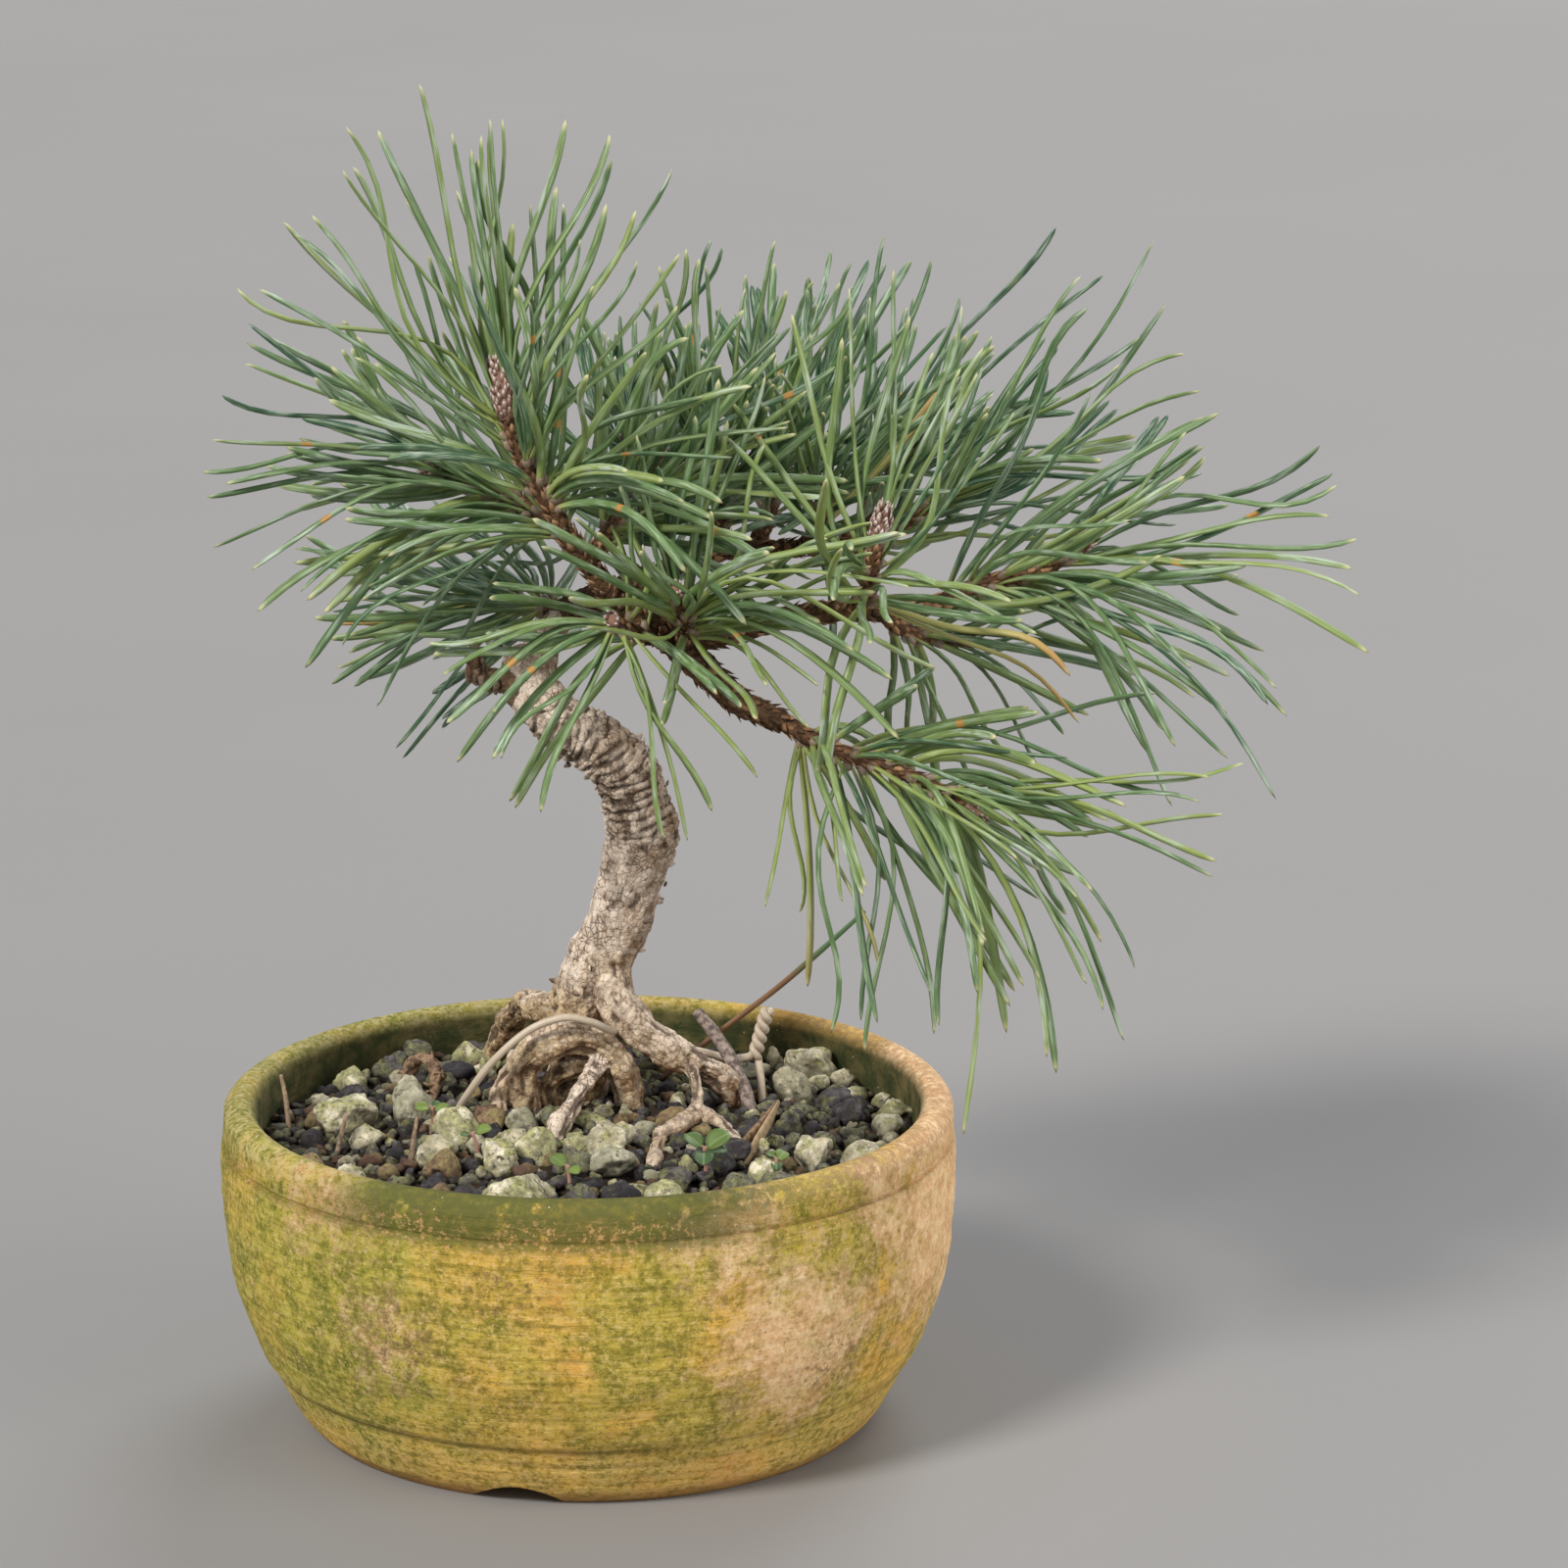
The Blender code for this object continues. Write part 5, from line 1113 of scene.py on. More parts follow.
def make_torn_ends(material, lines):
    """Splinters on the broken stubs, shreds on the dead end, and flakes lifting off the trunk."""
    rng = random.Random(55)
    skin = Skin()
    blade = np.array([(-1, 0), (-0.4, 0.38), (0.5, 0.34), (1, 0), (0, -0.35)]) * 1.3

    def add(route, young):
        # each splinter takes a random share of the painted crease shade
        skin.add(*tube(smooth_line(route, 0.5), 5, blade), crease=rng.uniform(0, 0.5), under=0.0,
                 young=young, root=0.0)

    for end, count, reach in ((lines[0][-1], TOP_SPLINTERS, 2.0), (lines[-1][-1], STUB_SPLINTERS, 2.2)):
        for _ in range(count):
            outward = unit(np.array([rng.gauss(0, 1), rng.gauss(0, 1), rng.gauss(0.4, 0.4)]))
            start = end[:3] + outward * (1, 1, 0.3) * end[3] * 0.8 - (0, 0, 0.8)
            tip = start + (0, 0, reach * rng.uniform(0.4, 1.2)) + outward * rng.uniform(0.2, 1.2)
            add([(*start, 0.7), (*((start + tip) / 2), 0.6), (*tip, 0.12)], rng.choice((0.1, 0.5)))
    dead = lines[1]
    for _ in range(DEAD_SHREDS):
        spot = dead[rng.randrange(4, len(dead))]
        outward = unit(np.array([rng.gauss(-0.4, 1), rng.gauss(-0.4, 1), rng.gauss(0, 0.5)]))
        start = spot[:3] + outward * spot[3] * 0.8
        fall = rng.uniform(1.0, 4.0)
        middle = start + outward * rng.uniform(0.4, 1.2) - (0, 0, fall * 0.4)
        tip = start + outward * rng.uniform(-0.3, 1.4) - (0, 0, fall)
        add([(*start, 0.75), (*middle, 0.65), (*tip, 0.25)], rng.uniform(0.6, 1.0))
    trunk = lines[0]
    for _ in range(TRUNK_FLAKES):
        row = rng.randrange(22, len(trunk) - 6)
        spot = trunk[row, :3]
        tangent = unit(trunk[row + 1, :3] - trunk[row - 1, :3])
        outward = any_direction(rng)
        outward = unit(outward - tangent * outward.dot(tangent))
        start = spot + outward * (trunk[row, 3] - 0.1)
        turn = np.cross(tangent, outward)
        size = rng.uniform(0.6, 1.5)
        middle = start + outward * 0.35 + turn * size * 0.5
        tip = start + outward * rng.uniform(0.3, 1.2) + turn * size * 1.1
        tip = tip + tangent * rng.uniform(-0.6, 0.6)
        add([(*start, 0.5), (*middle, 0.5), (*tip, 0.15)], rng.choice((0.0, 0.0, 0.7)))
    skin.make("torn_bark", material, "bark", "tree_wood")


def make_branches(material):
    """The young wood: branches and the bare feet of the shoots, rough with leaf scars."""
    lines = [smooth_line(points, 1.0) - (0, 0, 0, 0.45) for points in BRANCHES.values()]
    lines += [split_shoot(shoot[0])[0] - (0, 0, 0, 0.25) for shoot in SHOOTS.values()]
    tubes = [lumpy_tube(line, 14, number, 0.12) for number, line in enumerate(lines)]
    mesh, points = skin_over(tubes, YOUNG_VOXEL, 4)
    limb, run = nearest_on(lines, points)[:2]
    normals = normals_of(mesh, points)
    scars = cells(points / 1.5, 61)[0]
    height = 0.30 * smoothstep(scars, 0.7, 0.2) + 0.30 * fractal(points / 3.0, 63, 2)
    points = points + normals * height[:, None]
    normals_of(mesh, points)
    # painted shade between the raised leaf scars
    crease = smoothstep(scars, 0.45, 0.8)
    young = np.where(limb == 0, smoothstep(run, 4, 18), 1.0)
    none = np.zeros(len(points))
    add_values(mesh, crease=crease, under=none, young=young, root=none)
    make_scales(lines)
    finish_piece("branches", mesh, material, "bark", "tree_wood")


def scale_faces():
    """The foot of a scale, its four sides and its four-sided point."""
    faces = [(3, 2, 1, 0)]
    for side in range(4):
        after = (side + 1) % 4
        faces.append((side, after, after + 4, side + 4))
        faces.append((side + 4, after + 4, 8))
    return faces


SCALE_FACES = scale_faces()
SCALE_SHARES = np.array([0, 0, 0, 0, .5, .5, .5, .5, 1.0])      # how far along it each point is


def add_scale(skin, base, forward, outward, length, width, tone, lift):
    """One papery scale: a thin pointed blade, keeled on its back."""
    across = np.cross(forward, outward)
    tip = base + forward * length + outward * lift
    middle = base + forward * length * 0.5 + outward * (lift * 0.35 + 0.12)
    half = width / 2
    points = [base - across * half, base + outward * 0.30, base + across * half, base - outward * 0.45,
              middle - across * half * 0.9, middle + outward * 0.22, middle + across * half * 0.9,
              middle - outward * 0.22, tip]
    skin.add(np.array(points), SCALE_FACES, tone=tone, along=SCALE_SHARES)


def scales_along(skin, rng, line, pitch, width, length, lift, start=0.0, end=0.0):
    """Scales in a spiral round a stem, pointing to its tip."""
    frames = frames_along(line)
    run = distances(line)
    turn = rng.uniform(0, math.tau)
    at = start
    while at < run[-1] - end:
        turn += GOLDEN_ANGLE + rng.uniform(-0.25, 0.25)
        centre, tangent, outward = place_on(at, run, line, frames, turn)
        radius = np.interp(at, run, line[:, 3])
        grown = rng.uniform(0.7, 1.25)
        add_scale(skin, centre + outward * radius * 0.97, unit(tangent), outward, length * grown,
                  width * rng.uniform(0.8, 1.2), rng.random(), lift * rng.uniform(0.2, 1.6))
        at += pitch * rng.uniform(0.7, 1.3)


def make_scales(lines):
    """Old bud scales and the stubs of shed needles, all over the young wood."""
    rng = random.Random(71)
    skin = Skin()
    for number, line in enumerate(lines):
        crook = number == 0
        scales_along(skin, rng, line, 0.5 if crook else 0.32, 1.45, 2.2, 0.75, 14.0 if crook else 0.0)
    skin.make("branch_scales", scale_material(), "bark", "tree_wood")


# ---------------------------------------------------------------- leafy shoots

def needle_faces():
    """A cap at the foot, sides, and a fan to the tip, which is the last point."""
    count = len(NEEDLE_SECTION)
    rows = len(NEEDLE_ROWS)
    last = (rows - 1) * count
    tip = [(last + corner, last + (corner + 1) % count, rows * count) for corner in range(count)]
    return [tuple(range(count - 1, -1, -1)), *ring_faces(rows, count), *tip]


NEEDLE_FACES = needle_faces()
NEEDLE_ALONG = np.append(np.repeat(NEEDLE_ROWS, len(NEEDLE_SECTION)), 1.0)
NEEDLE_ACROSS = np.append(np.tile(NEEDLE_SECTION[:, 0], len(NEEDLE_ROWS)), 0.0)


def grow_needle(skin, root, heading, side, length, bend, rng, tone, dry, spot):
    """One needle: half round, flat towards its twin, tapering to a point at its tip."""
    s = NEEDLE_ROWS[:, None]
    wave = rng.gauss(0, NEEDLE_WAVE)
    centre = root + length * (heading * s + bend * s * s + side * wave * np.sin(s * 5.0))
    tip = root + length * (heading + bend + side * wave * math.sin(5.0))
    tangents = unit(np.gradient(np.vstack([centre, tip]), axis=0))[:-1]
    flat = unit(side - tangents * (tangents @ side)[:, None])
    broad = np.cross(tangents, flat)
    twist = (rng.uniform(-NEEDLE_TWIST, NEEDLE_TWIST) * NEEDLE_ROWS)[:, None]
    turned_flat = flat * np.cos(twist) + broad * np.sin(twist)
    turned_broad = broad * np.cos(twist) - flat * np.sin(twist)
    width = (NEEDLE_WIDTHS * NEEDLE_HALF_WIDTH * rng.uniform(0.88, 1.1))[:, None, None]
    ring = NEEDLE_SECTION[:, :1] * turned_broad[:, None] + NEEDLE_SECTION[:, 1:] * turned_flat[:, None]
    points = (centre[:, None] + width * ring).reshape(-1, 3)
    skin.add(np.vstack([points, tip]), NEEDLE_FACES, along=NEEDLE_ALONG, across=NEEDLE_ACROSS,
             tone=tone, dry=dry, spot=spot, sheath=0.0)


def grow_fascicle(skin, rng, base, heading, sideways, length, bend, tone, dry):
    """Two needles out of one papery sheath."""
    half = math.radians(rng.uniform(2, 9))
    root = base + heading * 0.6
    for sign in (-1, 1):
        lean = unit(heading * math.cos(half) + sideways * sign * math.sin(half))
        curl = bend + sideways * sign * rng.uniform(-0.02, 0.07)
        spot = rng.uniform(0.3, 0.85) if rng.random() < SPOTTED_SHARE else NO_SPOT
        grow_needle(skin, root + sideways * sign * 0.32, lean, -sideways * sign,
                    length * rng.uniform(0.96, 1.03), curl, rng, tone + rng.uniform(-0.08, 0.08), dry, spot)
    widths = ((-0.6, 0.6), (0.6, 0.92), (SHEATH_LENGTH * 0.7, 0.90), (SHEATH_LENGTH, 0.78))
    sheath = np.array([(*(base + heading * reach), width) for reach, width in widths])
    skin.add(*tube(sheath, 8), along=0.5, across=0.0, tone=tone, dry=0.0, spot=NO_SPOT, sheath=1.0)


def make_shoot(number, name, materials):
    """A leafy stem, its bud, and its needles in pairs."""
    points, length, spread, sag, lean, bud_length = SHOOTS[name]
    rng = random.Random(200 + number)
    line = split_shoot(points)[1]
    frames = frames_along(line)
    run = distances(line)
    leafy_end = run[-1] - bud_length * 0.75
    # Needles on shoots further back get a darker, bluer tone: painted shade deep in the crown
    shade = min(0.66, max(0.30, 0.57 - 0.005 * line[-1, 1]))
    pitch = FASCICLE_PITCH * (SPARSE if name in SPARSE_SHOOTS else 1.0)
    skin = Skin()
    turn = rng.uniform(0, math.tau)
    at = 1.5
    while at < leafy_end:
        along = at / leafy_end
        turn += GOLDEN_ANGLE + rng.uniform(-0.2, 0.2)
        centre, tangent, outward = place_on(at, run, line, frames, turn)
        angle = math.radians(spread[0] + (spread[1] - spread[0]) * along ** 0.8 + rng.uniform(-9, 9))
        heading = unit(tangent * math.cos(angle) + outward * math.sin(angle) + np.array(lean))
        sideways = unit(np.cross(heading, outward) + 0.7 * any_direction(rng))
        sideways = unit(sideways - heading * sideways.dot(heading))
        loose = any_direction(rng)
        loose -= heading * loose.dot(heading)
        bend = loose * NEEDLE_LOOSENESS + tangent * rng.uniform(-0.05, 0.36)
        bend = bend - np.array((0, 0, sag)) * rng.uniform(-0.3, 2.0)
        reach = length * rng.uniform(0.72, 1.08) * (1 - 0.12 * max(0.0, along - 0.8) / 0.2)
        reach /= 1 + 0.45 * float(np.linalg.norm(bend))
        base = centre + outward * (SHOOT_RADIUS - 0.6)
        reach = min(reach, (CROWN_TOP - base[2]) / max(0.1, heading[2] + bend[2]))
        tone = min(1.0, max(0.0, rng.gauss(shade, 0.2)))
        dry = 1.0 if rng.random() < DRY_SHARE else 0.0
        tip = base + (heading + bend) * reach
        hides_bud = name in OPEN_SHOOTS and passes_before(base, tip, line[run > leafy_end, :3])
        clear = clear_of_wood(base + heading * reach * 0.5, tip)
        over_bend = name == PARTED_SHOOT and BEND_LEFT < tip[0] < BEND_RIGHT and tip[2] < BEND_TOP
        if clear and not hides_bud and not over_bend:
            grow_fascicle(skin, rng, base, heading, sideways, reach, bend, tone, dry)
        at += pitch * rng.uniform(0.75, 1.25)
    grow_long_needles(skin, rng, name, line, frames[0], leafy_end / run[-1], shade)
    skin.make("needles_" + name, materials["needle"], "needle", "shoot_" + name)
    make_stem(rng, name, line, bud_length, materials)


def grow_long_needles(skin, rng, name, line, tangents, leafy_share, shade):
    """The needles that give a tuft its outline, each to a tip of its own."""
    for share, x, y, z, rise, *dry in LONG_NEEDLES.get(name, ()):
        tip = np.array((x, y, z), float)
        row = round(share * leafy_share * (len(line) - 1))
        toward = tip - line[row, :3]
        outward = unit(toward - tangents[row] * toward.dot(tangents[row]))
        if name in OPEN_SHOOTS and share > 0.8:
            outward = unit(outward + (0, 1.4, 0))
        base = line[row, :3] + outward * (SHOOT_RADIUS - 0.6)
        reach = float(np.linalg.norm(tip - base))
        straight = (tip - base) / reach
        heading = unit(straight + np.array((0, 0, rise)) + tangents[row] * 0.15)
        sideways = unit(np.cross(heading, np.array((rng.gauss(0, 0.4), -1.0, rng.gauss(0, 0.4)))))
        tone = min(1.0, max(0.0, rng.gauss(shade, 0.2)))
        grow_fascicle(skin, rng, base, heading, sideways, reach, straight - heading, tone, sum(dry))


def passes_before(base, tip, bud):
    """True where a straight needle crosses a bud in front of it, or all but touches its side."""
    for share in np.linspace(0.0, 1.0, 14):
        spot = base + (tip - base) * share
        aside = np.abs(bud[:, 0] - spot[0])
        above = np.abs(bud[:, 2] - spot[2])
        if np.any((aside < 2.6) & (above < 2.2) & (spot[1] < bud[:, 1] + 0.5)):
            return True
    return False


def clear_of_wood(*spots):
    """True where no spot is inside the trunk, the pot or the ground."""
    for spot in spots:
        if spot[2] < POT_HEIGHT + 8 and math.hypot(spot[0], spot[1]) < RIM_RADIUS + 5 or spot[2] < 4:
            return False
        if np.min(np.linalg.norm(TRUNK_LINE[:, :3] - spot, axis=1) - TRUNK_LINE[:, 3]) < 1.0:
            return False
    return True


def make_stem(rng, name, line, bud_length, materials):
    """The stem under the needles, with scales at their feet, and the scaly bud at its end."""
    run = distances(line)
    stem = line[run < run[-1] - bud_length * 0.7].copy()
    stem[:, 3] = np.linspace(SHOOT_RADIUS - 0.3, SHOOT_RADIUS - 0.6, len(stem))
    skin = Skin()
    skin.add(*tube(stem, 14), tone=0.25, along=0.0)
    scales_along(skin, rng, stem, 0.34, 1.2, 2.0, 0.5)
    skin.make("stem_" + name, materials["scales"], "bark", "shoot_" + name)
    bud = Skin()
    tip = line[-1, :3]
    direction = unit(tip - line[-4, :3])
    widest = 1.35 + 0.070 * bud_length
    core = []
    for part in np.linspace(0, 1, 14):
        radius = widest * (0.7 + 0.3 * math.sin(math.pi * min(1.0, 0.9 * part))) * math.sqrt(1 - part ** 4)
        core.append((*(tip - direction * bud_length * (0.8 - 0.88 * part)), max(0.15, radius)))
    core = np.array(core)
    bud.add(*tube(core, 16), tone=0.3, along=0.2, resin=0.6)
    scales = Skin()
    scales_along(scales, rng, core, 0.11, 1.05, 1.9, 0.28, 0.2, 0.4)
    for scale_points in scales.points:
        bud.add(scale_points, SCALE_FACES, tone=rng.random(), along=SCALE_SHARES, resin=1.0)
    bud.make("bud_" + name, materials["bud"], "bark", "shoot_" + name)


# ---------------------------------------------------------------- soil and stones

def soil_height(x, y):
    """The bed's mean height: flat in the middle, and falling a little to the wall."""
    drop = SOIL_CENTRE_HEIGHT - SOIL_SHOULDER_HEIGHT
    slope = drop / (SOIL_SHOULDER_RADIUS - SOIL_CENTRE_RADIUS)
    return SOIL_CENTRE_HEIGHT - np.maximum(0.0, np.hypot(x, y) - SOIL_CENTRE_RADIUS) * slope


def make_soil(material):
    """A crumbly bed, lumpy on top and plain where the pot hides it."""
    angles = np.arange(SOIL_SIDES) * math.tau / SOIL_SIDES
    radii = np.linspace(1.0, SOIL_RADIUS, 84)
    radius = np.repeat(radii, SOIL_SIDES)
    around = np.tile(angles, len(radii))
    x, y = radius * np.cos(around), radius * np.sin(around)
    flat = np.column_stack([x, y, np.zeros(len(x))])
    lumps = 1.2 * fractal(flat / 5.0, 81, 3) + 0.7 * noise(flat / 1.6, 85)
    rings = [np.column_stack([x, y, soil_height(x, y) - 0.4 + lumps])]
    for wall_radius, height in reversed(INNER_WALL):
        ring = (wall_radius - SOIL_GAP) * np.column_stack([np.cos(angles), np.sin(angles)])
        rings.append(np.column_stack([ring, np.full(SOIL_SIDES, height + SOIL_GAP)]))
    faces = turned_over(closed_faces(len(radii) + len(INNER_WALL), SOIL_SIDES))
    skin = Skin()
    skin.add(np.vstack([*rings, (0, 0, SOIL_CENTRE_HEIGHT), (0, 0, FLOOR + SOIL_GAP)]), faces)
    skin.make("soil_bed", material, "soil", "soil")


def ball(level):
    """Directions and faces of an even ball."""
    bm = bmesh.new()
    bmesh.ops.create_icosphere(bm, subdivisions=level, radius=1.0)
    directions = np.array([vert.co[:] for vert in bm.verts])
    faces = [[vert.index for vert in face.verts] for face in bm.faces]
    bm.free()
    return unit(directions), faces


BALLS = {level: ball(level) for level in (3, 4, 5)}


def broken_stone(rng, half, level, pits):
    """A broken lump: rounded facets at random, rough and pitted, turned and tilted."""
    directions, faces = BALLS[level]
    normals = unit(np.array([any_direction(rng) for _ in range(STONE_FACETS)]))
    reach = np.array([rng.uniform(0.62, 1.0) for _ in range(STONE_FACETS)])
    facing = np.maximum(directions @ normals.T, 0.0) / reach
    radius = np.sum(facing ** FACET_SHARPNESS, axis=1) ** (-1 / FACET_SHARPNESS)
    radius = np.clip(radius, 0.6, 1.15)
    spots = directions * radius[:, None] + rng.uniform(0, 90)
    size = float(np.mean(half))
    radius = radius + 0.13 * fractal(spots * 1.9, 91, 3) + 0.20 / size * fractal(spots * size * 0.9, 95, 2)
    holes, depth = cells(spots * size / 1.3, 97)
    radius = radius - pits * smoothstep(holes, 0.45, 0.10) * np.maximum(depth, 0) * 0.6 / size
    points = directions * radius[:, None] * half
    turn = rng.uniform(0, math.tau)
    tilt = rng.uniform(-0.35, 0.35)
    spin = np.array([(math.cos(turn), -math.sin(turn), 0), (math.sin(turn), math.cos(turn), 0), (0, 0, 1)])
    tip = np.array([(1, 0, 0), (0, math.cos(tilt), -math.sin(tilt)), (0, math.sin(tilt), math.cos(tilt))])
    return points @ (spin @ tip).T, faces


def box_middle(name):
    """The middle of a CAD node's box, in millimetres."""
    return np.mean(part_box(name), axis=0) / MM


def make_stones(materials):
    """The named stones, each its own piece."""
    for number, (*_, width, depth, height, kind) in enumerate(STONES):
        name = f"stone_{number + 1:02d}"
        rng = random.Random(300 + number)
        half = np.array((width, depth, height)) / 2 * 1.04
        level = 5 if max(width, height) > LARGE_STONE else 4
        points, faces = broken_stone(rng, half, level, 1.0 if kind == "pumice" else 0.7)
        skin = Skin()
        skin.add(points + box_middle(name), faces, tone=rng.random())
        skin.make("chip_" + name, materials[kind], kind, name)


def make_gravel(materials):
    """Small gravel and grit between the stones, filling the bed to the wall."""
    rng = random.Random(401)
    taken = [(x, y, max(width, depth) / 2 * 0.8) for x, y, width, depth, *_ in STONES]
    wood = np.vstack([smooth_line(points, 2.0) for points in [*TRUNK.values(), *ROOTS.values()]])
    skins = {kind: Skin() for kind in ("pumice", "lava", "red")}
    for low, high, wanted, level, overlap in GRAVEL:
        for _ in range(wanted * GRAVEL_TRIES):
            size = rng.uniform(low, high)
            away = math.sqrt(rng.random()) * (SOIL_RADIUS - size * 0.45)
            turn = rng.uniform(0, math.tau)
            x, y = away * math.cos(turn), away * math.sin(turn)
            if any(math.hypot(x - a, y - b) < (size / 2 + c) * overlap for a, b, c in taken):
                continue
            height = float(soil_height(x, y)) + size * rng.uniform(-0.05, 0.28)
            spot = np.array((x, y, height))
            gap = np.linalg.norm(wood[:, :3] - spot, axis=1) - wood[:, 3]
            if gap.min() < size * 0.35:
                continue
            taken.append((x, y, size / 2))
            shares = COARSE_KINDS if size > FINE_SIZE else FINE_KINDS
            kind = rng.choices(("pumice", "lava", "red"), shares)[0]
            stretch = [rng.uniform(*limits) for limits in ((0.85, 1.2), (0.75, 1.0), (0.7, 1.0))]
            half = size / 2 * np.array(stretch)
            points, faces = broken_stone(rng, half, level, 0.8)
            skins[kind].add(points + spot, faces, tone=rng.random())
            wanted -= 1
            if wanted == 0:
                break
    for kind, skin in skins.items():
        skin.make("gravel_" + kind, materials[kind], kind, "soil")


# ---------------------------------------------------------------- wire, litter and seedlings

def wire_line():
    """Both ends twisted together, over the roots, and through the drain holes."""
    top, foot = np.array(TWIST_TOP), np.array(TWIST_FOOT)
    tangent = unit(foot - top)
    across = unit(np.cross(tangent, (0.0, 1.0, 0.0)))
    up = np.cross(tangent, across)
    steps = round(16 * TWIST_TURNS)
    strands = ([], [])
    for step in range(steps + 1):
        angle = math.tau * TWIST_TURNS * (1 - step / steps)
        centre = top + (foot - top) * step / steps
        offset = TWIST_OFFSET * 0.92 * (across * math.cos(angle) + up * math.sin(angle))
        strands[0].append((*(centre + offset), WIRE_RADIUS))
        strands[1].append((*(centre - offset), WIRE_RADIUS))
    route = [(*point, WIRE_RADIUS) for point in WIRE_ROUTE]
    bends = smooth_line([strands[1][-1], *route, strands[0][-1]], 0.9)
    return np.vstack([strands[1][:-1], bends, strands[0][-2::-1]])


def make_wire(material):
    """The tie-down wire, one closed loop of round wire."""
    skin = Skin()
    skin.add(*tube(wire_line(), 14))
    skin.make("tie_down_wire", material, "wire", "anchor_wire")


def rough_bar(points, step, sides, roughness, seed):
    """A bar with a bumpy, fibrous surface."""
    line = smooth_line(points, step)
    rows = []
    for side in range(sides):
        around = side * math.tau / sides
        spots = line[:, :3] / 4.0 + (math.cos(around) * 1.4, math.sin(around) * 1.4, seed)
        rows.append(1 + roughness * fractal(spots * 1.3, seed, 3))
    return tube(line, sides, wobble=np.array(rows).T), line


def make_litter(materials):
    """Each loose bit, in the place of its CAD node."""
    for seed, (name, (tone, pale, roughness)) in enumerate(LITTER_LOOKS.items(), 500):
        skin = Skin()
        (points, faces), line = rough_bar(LITTER[name], 0.5, 16, roughness, seed)
        skin.add(points, faces, tone=tone, pale=pale)
        if name == "dry_twig":
            add_shreds(skin, random.Random(511), line)
        skin.make("litter_" + name, materials["litter"], "litter", name)
    make_straw(materials["litter"])
    line = smooth_line(LITTER["fallen_needle"], 0.8)
    skin = Skin()
    along = tube_values(np.linspace(0, 1, len(line)), len(NEEDLE_SECTION))
    skin.add(*tube(line, 8, NEEDLE_SECTION * (1.1, 1.0)), along=along)
    skin.make("litter_fallen_needle", materials["fallen"], "litter", "fallen_needle")


def add_shreds(skin, rng, line):
    """Loose curls of dead bark along a twig."""
    blade = np.array([(-1, 0), (0, 0.35), (1, 0), (0, -0.35)]) * 1.6
    for _ in range(26):
        spot = line[rng.randrange(2, len(line) - 2)]
        outward = unit(any_direction(rng))
        along = unit(any_direction(rng))
        start = spot[:3] + outward * spot[3] * 0.7
        middle = start + outward * 0.8 + along * 1.2
        shred = [(*start, 0.35), (*middle, 0.30), (*(start + along * 2.6), 0.12)]
        skin.add(*tube(smooth_line(shred, 0.5), 6, blade), tone=0.0, pale=rng.uniform(0, 0.3))


def make_straw(material):
    """A flattened brown stalk, split into two pale halves at its lower end."""
    skin = Skin()
    flat = np.array([(-1, 0), (-0.6, 0.32), (0.6, 0.32), (1, 0), (0.6, -0.2), (-0.6, -0.2)]) * 1.15
    route = LITTER["straw_sliver"]
    for shift, drop, pale in ((-1.1, 0.3, 0.1), (1.1, -0.2, 0.45)):
        half = []
        for share, (x, y, z, radius) in zip((0.15, 0.5, 1.0, 1.3), route):
            half.append((x + shift * share, y, z + drop * share, radius * 0.8))
        skin.add(*tube(smooth_line(half, 0.6), 6, flat), tone=0.0, pale=pale)
    skin.make("litter_straw_sliver", material, "litter", "straw_sliver")


def add_leaf(skin, base, outward, facing, size, tone, rise):
    """A round leaf, a little cupped, with a fold down its middle."""
    across = unit(np.cross(facing, outward))
    forward = unit(outward * math.cos(rise) + facing * math.sin(rise))
    up = np.cross(forward, across)
    around = np.arange(LEAF_SIDES) * math.tau / LEAF_SIDES
    points = []
    vein = []
    for layer in (0.10, -0.10):
        for share in (1.0, 0.66, 0.33):
            x = share * np.cos(around) * size / 2 * 1.08 + size * 0.52
            y = share * np.sin(around) * size / 2
            cup = 0.20 * y * y / size + 0.18 * np.abs(y)
            z = layer + cup - 0.24 * size * (x / size - 0.5) ** 2
            points.append(base + x[:, None] * forward + y[:, None] * across + z[:, None] * up)
            vein.append(np.abs(y) / (size / 2))
        points.append((base + forward * size * 0.52 + up * layer)[None])
        vein.append(np.zeros(1))
    upper = ring_faces(3, LEAF_SIDES)
    first = 2 * LEAF_SIDES
    under = 3 * LEAF_SIDES + 1
    rim = []
    for side in range(LEAF_SIDES):
        after = (side + 1) % LEAF_SIDES
        upper.append((first + side, first + after, under - 1))
        rim.append((side, under + side, under + after, after))
    lower = [tuple(under + corner for corner in face[::-1]) for face in upper]
    faces = [*upper, *lower, *rim]
    skin.add(np.vstack(points), faces, tone=tone, vein=np.concatenate(vein), stalk=0.0)


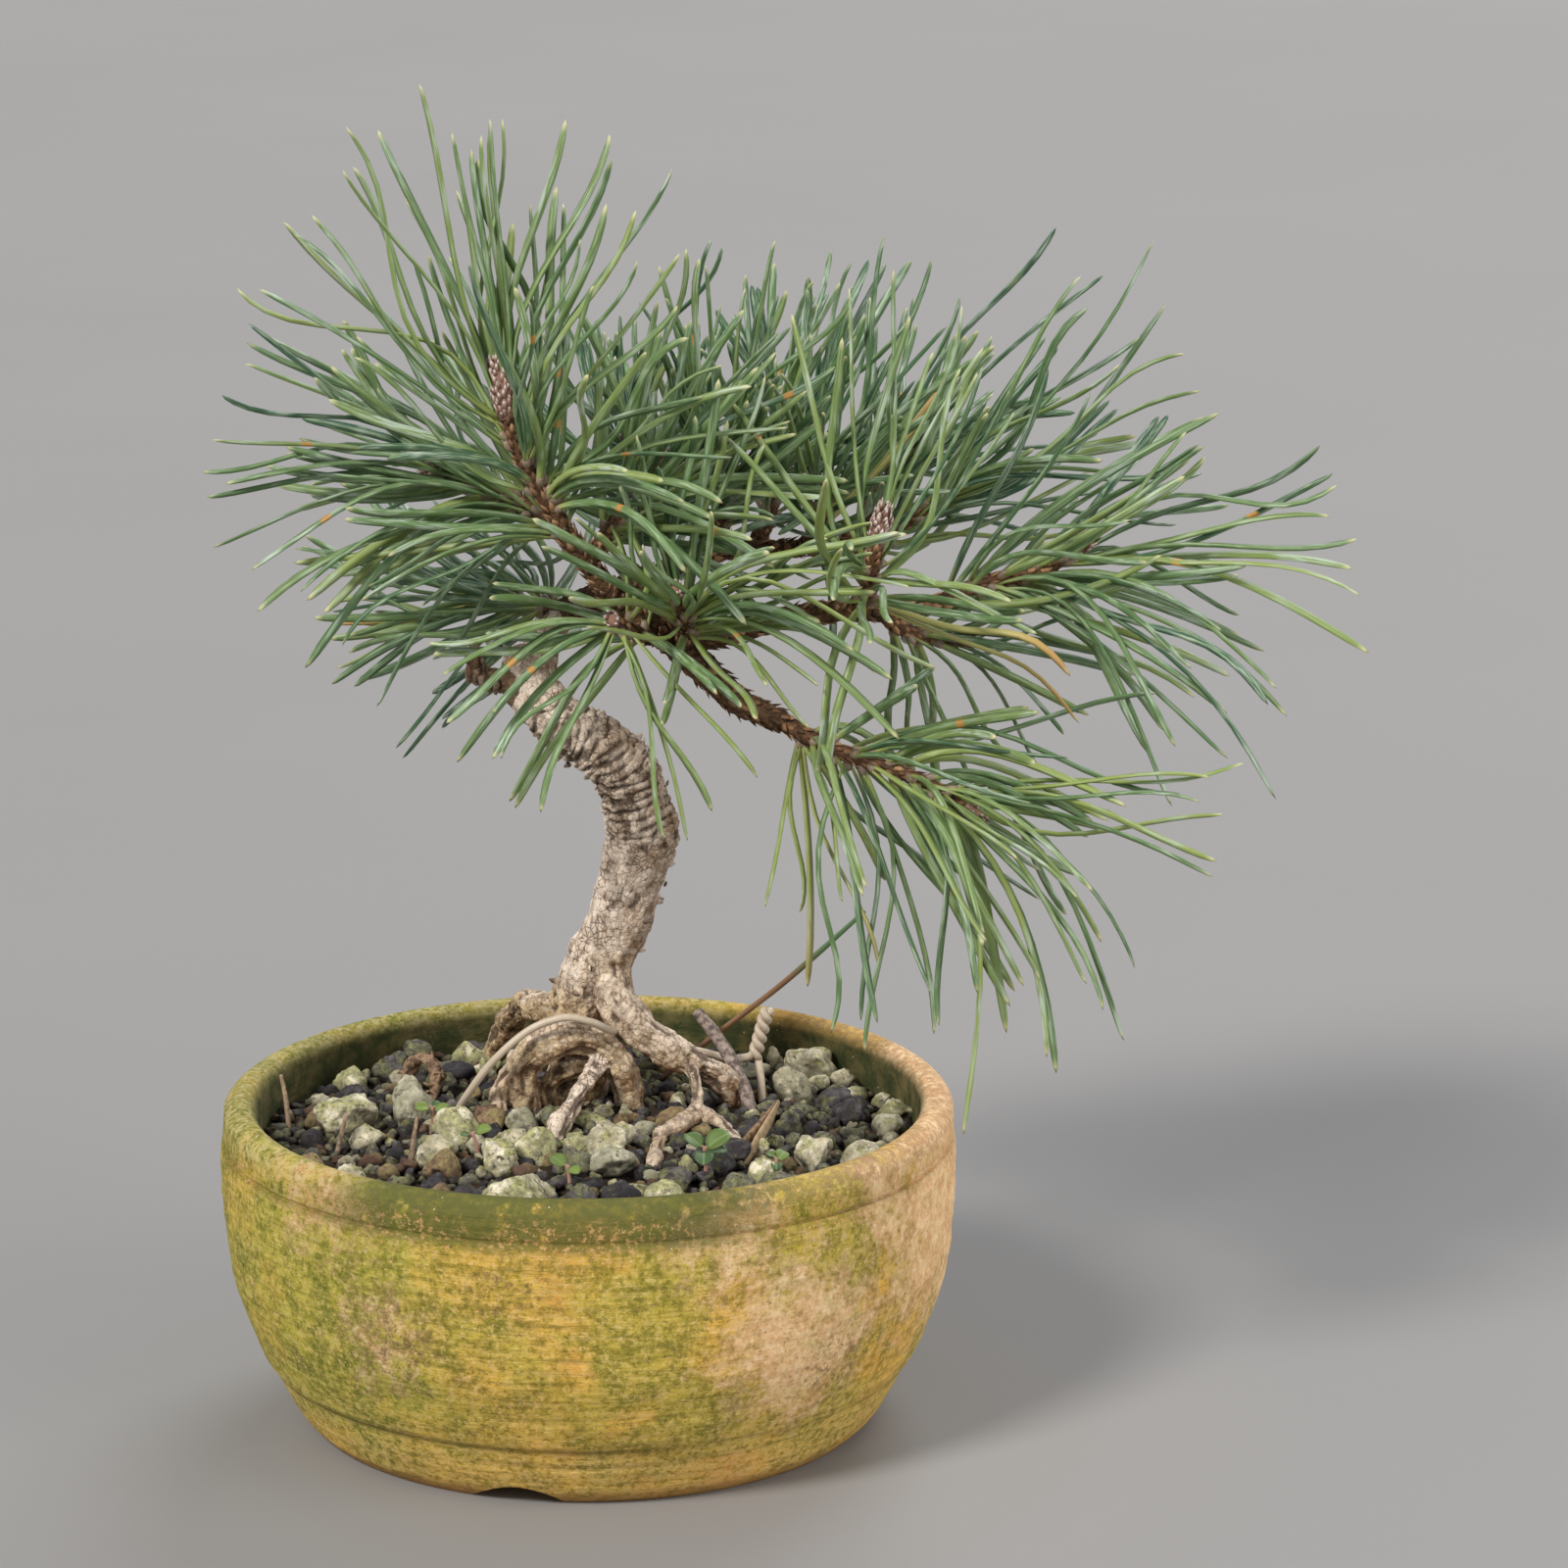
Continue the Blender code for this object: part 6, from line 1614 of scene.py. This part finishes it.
def make_seedlings(material):
    """Weeds in the gravel: round leaves on thin pink stalks."""
    for number, (foot_x, foot_y, height, leaves, size) in enumerate(SEEDLINGS, 1):
        rng = random.Random(600 + number)
        ground = float(soil_height(foot_x, foot_y))
        middle_x, middle_y, _ = box_middle(f"seedling_{number}")
        top = np.array((middle_x, middle_y, ground + height - 0.6))
        foot = np.array((foot_x, foot_y, ground - 3.0))
        skin = Skin()
        middle = (foot + top) / 2 + (0.4, -0.3, 0.6)
        line = smooth_line([(*foot, 0.42), (*middle, 0.38), (*top, 0.32)], 0.6)
        skin.add(*tube(line, 10), tone=0.5, vein=1.0, stalk=1.0)
        brightest = 0.6 if number == 1 else 1.0
        start = rng.uniform(0, math.tau)
        facing = unit(np.array((rng.uniform(-0.4, 0.4), rng.uniform(-0.7, -0.1), 0.78)))
        for leaf in range(leaves):
            turn = start + math.tau * leaf / leaves + rng.uniform(-0.9, 0.9)
            outward = np.array((math.cos(turn), math.sin(turn) * facing[2], -math.sin(turn) * facing[1]))
            rise = rng.uniform(-0.2, 0.6)
            stem_end = top + outward * 0.7 + (0, 0, rng.uniform(-0.8, 0.4))
            stem = smooth_line([(*(top - (0, 0, 1.0)), 0.28), (*top, 0.25), (*stem_end, 0.22)], 0.4)
            skin.add(*tube(stem, 8), tone=0.5, vein=1.0, stalk=0.7)
            width = size * rng.uniform(0.5, 1.2)
            add_leaf(skin, stem_end, outward, facing, width, rng.random() * brightest, rise)
        skin.make(f"weed_{number}", material, "seedling", f"seedling_{number}")


# ---------------------------------------------------------------- camera, light and floor

def make_camera():
    """The camera, at the photograph's place and with its view."""
    data = bpy.data.cameras.new("camera")
    data.sensor_width = 36.0
    data.lens = 135.9
    data.clip_start = 0.01
    camera = link("camera", data)
    camera.location = (0.0402, -1.1665, 0.4248)
    camera.rotation_euler = (math.radians(75.96), 0.0, 0.0)
    bpy.context.scene.camera = camera


def add_light(name, place, spread, strength, color):
    """Even light from a direction, as soft as a lamp that looks as wide as spread, in degrees."""
    data = bpy.data.lights.new(name, "SUN")
    data.angle = math.radians(spread)
    data.energy = strength
    data.color = color
    light = link(name, data)
    light.location = place
    light.rotation_euler = Vector(place).to_track_quat("Z", "Y").to_euler()


def make_studio():
    """A key light from the left of the front, soft fill and back light, and a pale floor."""
    add_light("key", (-0.78, -0.86, 1.03), 15.0, 2.75, (1.0, 0.97, 0.92))
    add_light("fill", (1.17, -0.61, 0.48), 48.0, 1.45, (1.0, 0.97, 0.93))
    add_light("back", (0.47, 1.19, 0.98), 32.0, 1.30, (0.95, 0.98, 1.0))
    world = bpy.data.worlds.new("studio")
    bpy.context.scene.world = world
    world.use_nodes = True
    background = world.node_tree.nodes["Background"]
    background.inputs["Color"].default_value = (0.90, 0.93, 1.0, 1.0)
    background.inputs["Strength"].default_value = 0.40
    bpy.context.scene.view_settings.view_transform = "Standard"
    corners = np.array([(-1, -1, 0), (1, -1, 0), (1, 1, 0), (-1, 1, 0)]) * FLOOR_REACH / MM
    mesh = mesh_of("floor", corners, [(0, 1, 2, 3)])
    mesh.materials.append(floor_material())
    link("floor", mesh)


# ---------------------------------------------------------------- build

make_camera()
make_studio()

looks = {
    "needle": needle_material(),
    "scales": scale_material(),
    "bud": bud_material(),
    "pumice": stone_material("pumice", (0.42, 0.37, 0.24), (0.94, 0.85, 0.64), 0.75, 0.9),
    "lava": stone_material("lava", (0.050, 0.042, 0.044), (0.165, 0.150, 0.155), 0.45, 0.8),
    "red": stone_material("red_lava", (0.145, 0.080, 0.055), (0.31, 0.20, 0.13), 0.35, 0.7),
    "litter": litter_material(),
    "fallen": fallen_needle_material(),
}
bark = bark_material()

make_pot(terracotta_material())
drain_mesh_material = mesh_material()
for mesh_name in ("drain_mesh_1", "drain_mesh_2"):
    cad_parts[mesh_name].material_slots[0].material = drain_mesh_material
make_old_wood(bark)
make_branches(bark)
for shoot_number, shoot_name in enumerate(SHOOTS):
    make_shoot(shoot_number, shoot_name, looks)
make_soil(soil_material())
make_stones(looks)
make_gravel(looks)
make_wire(wire_material())
make_litter(looks)
make_seedlings(seedling_material())
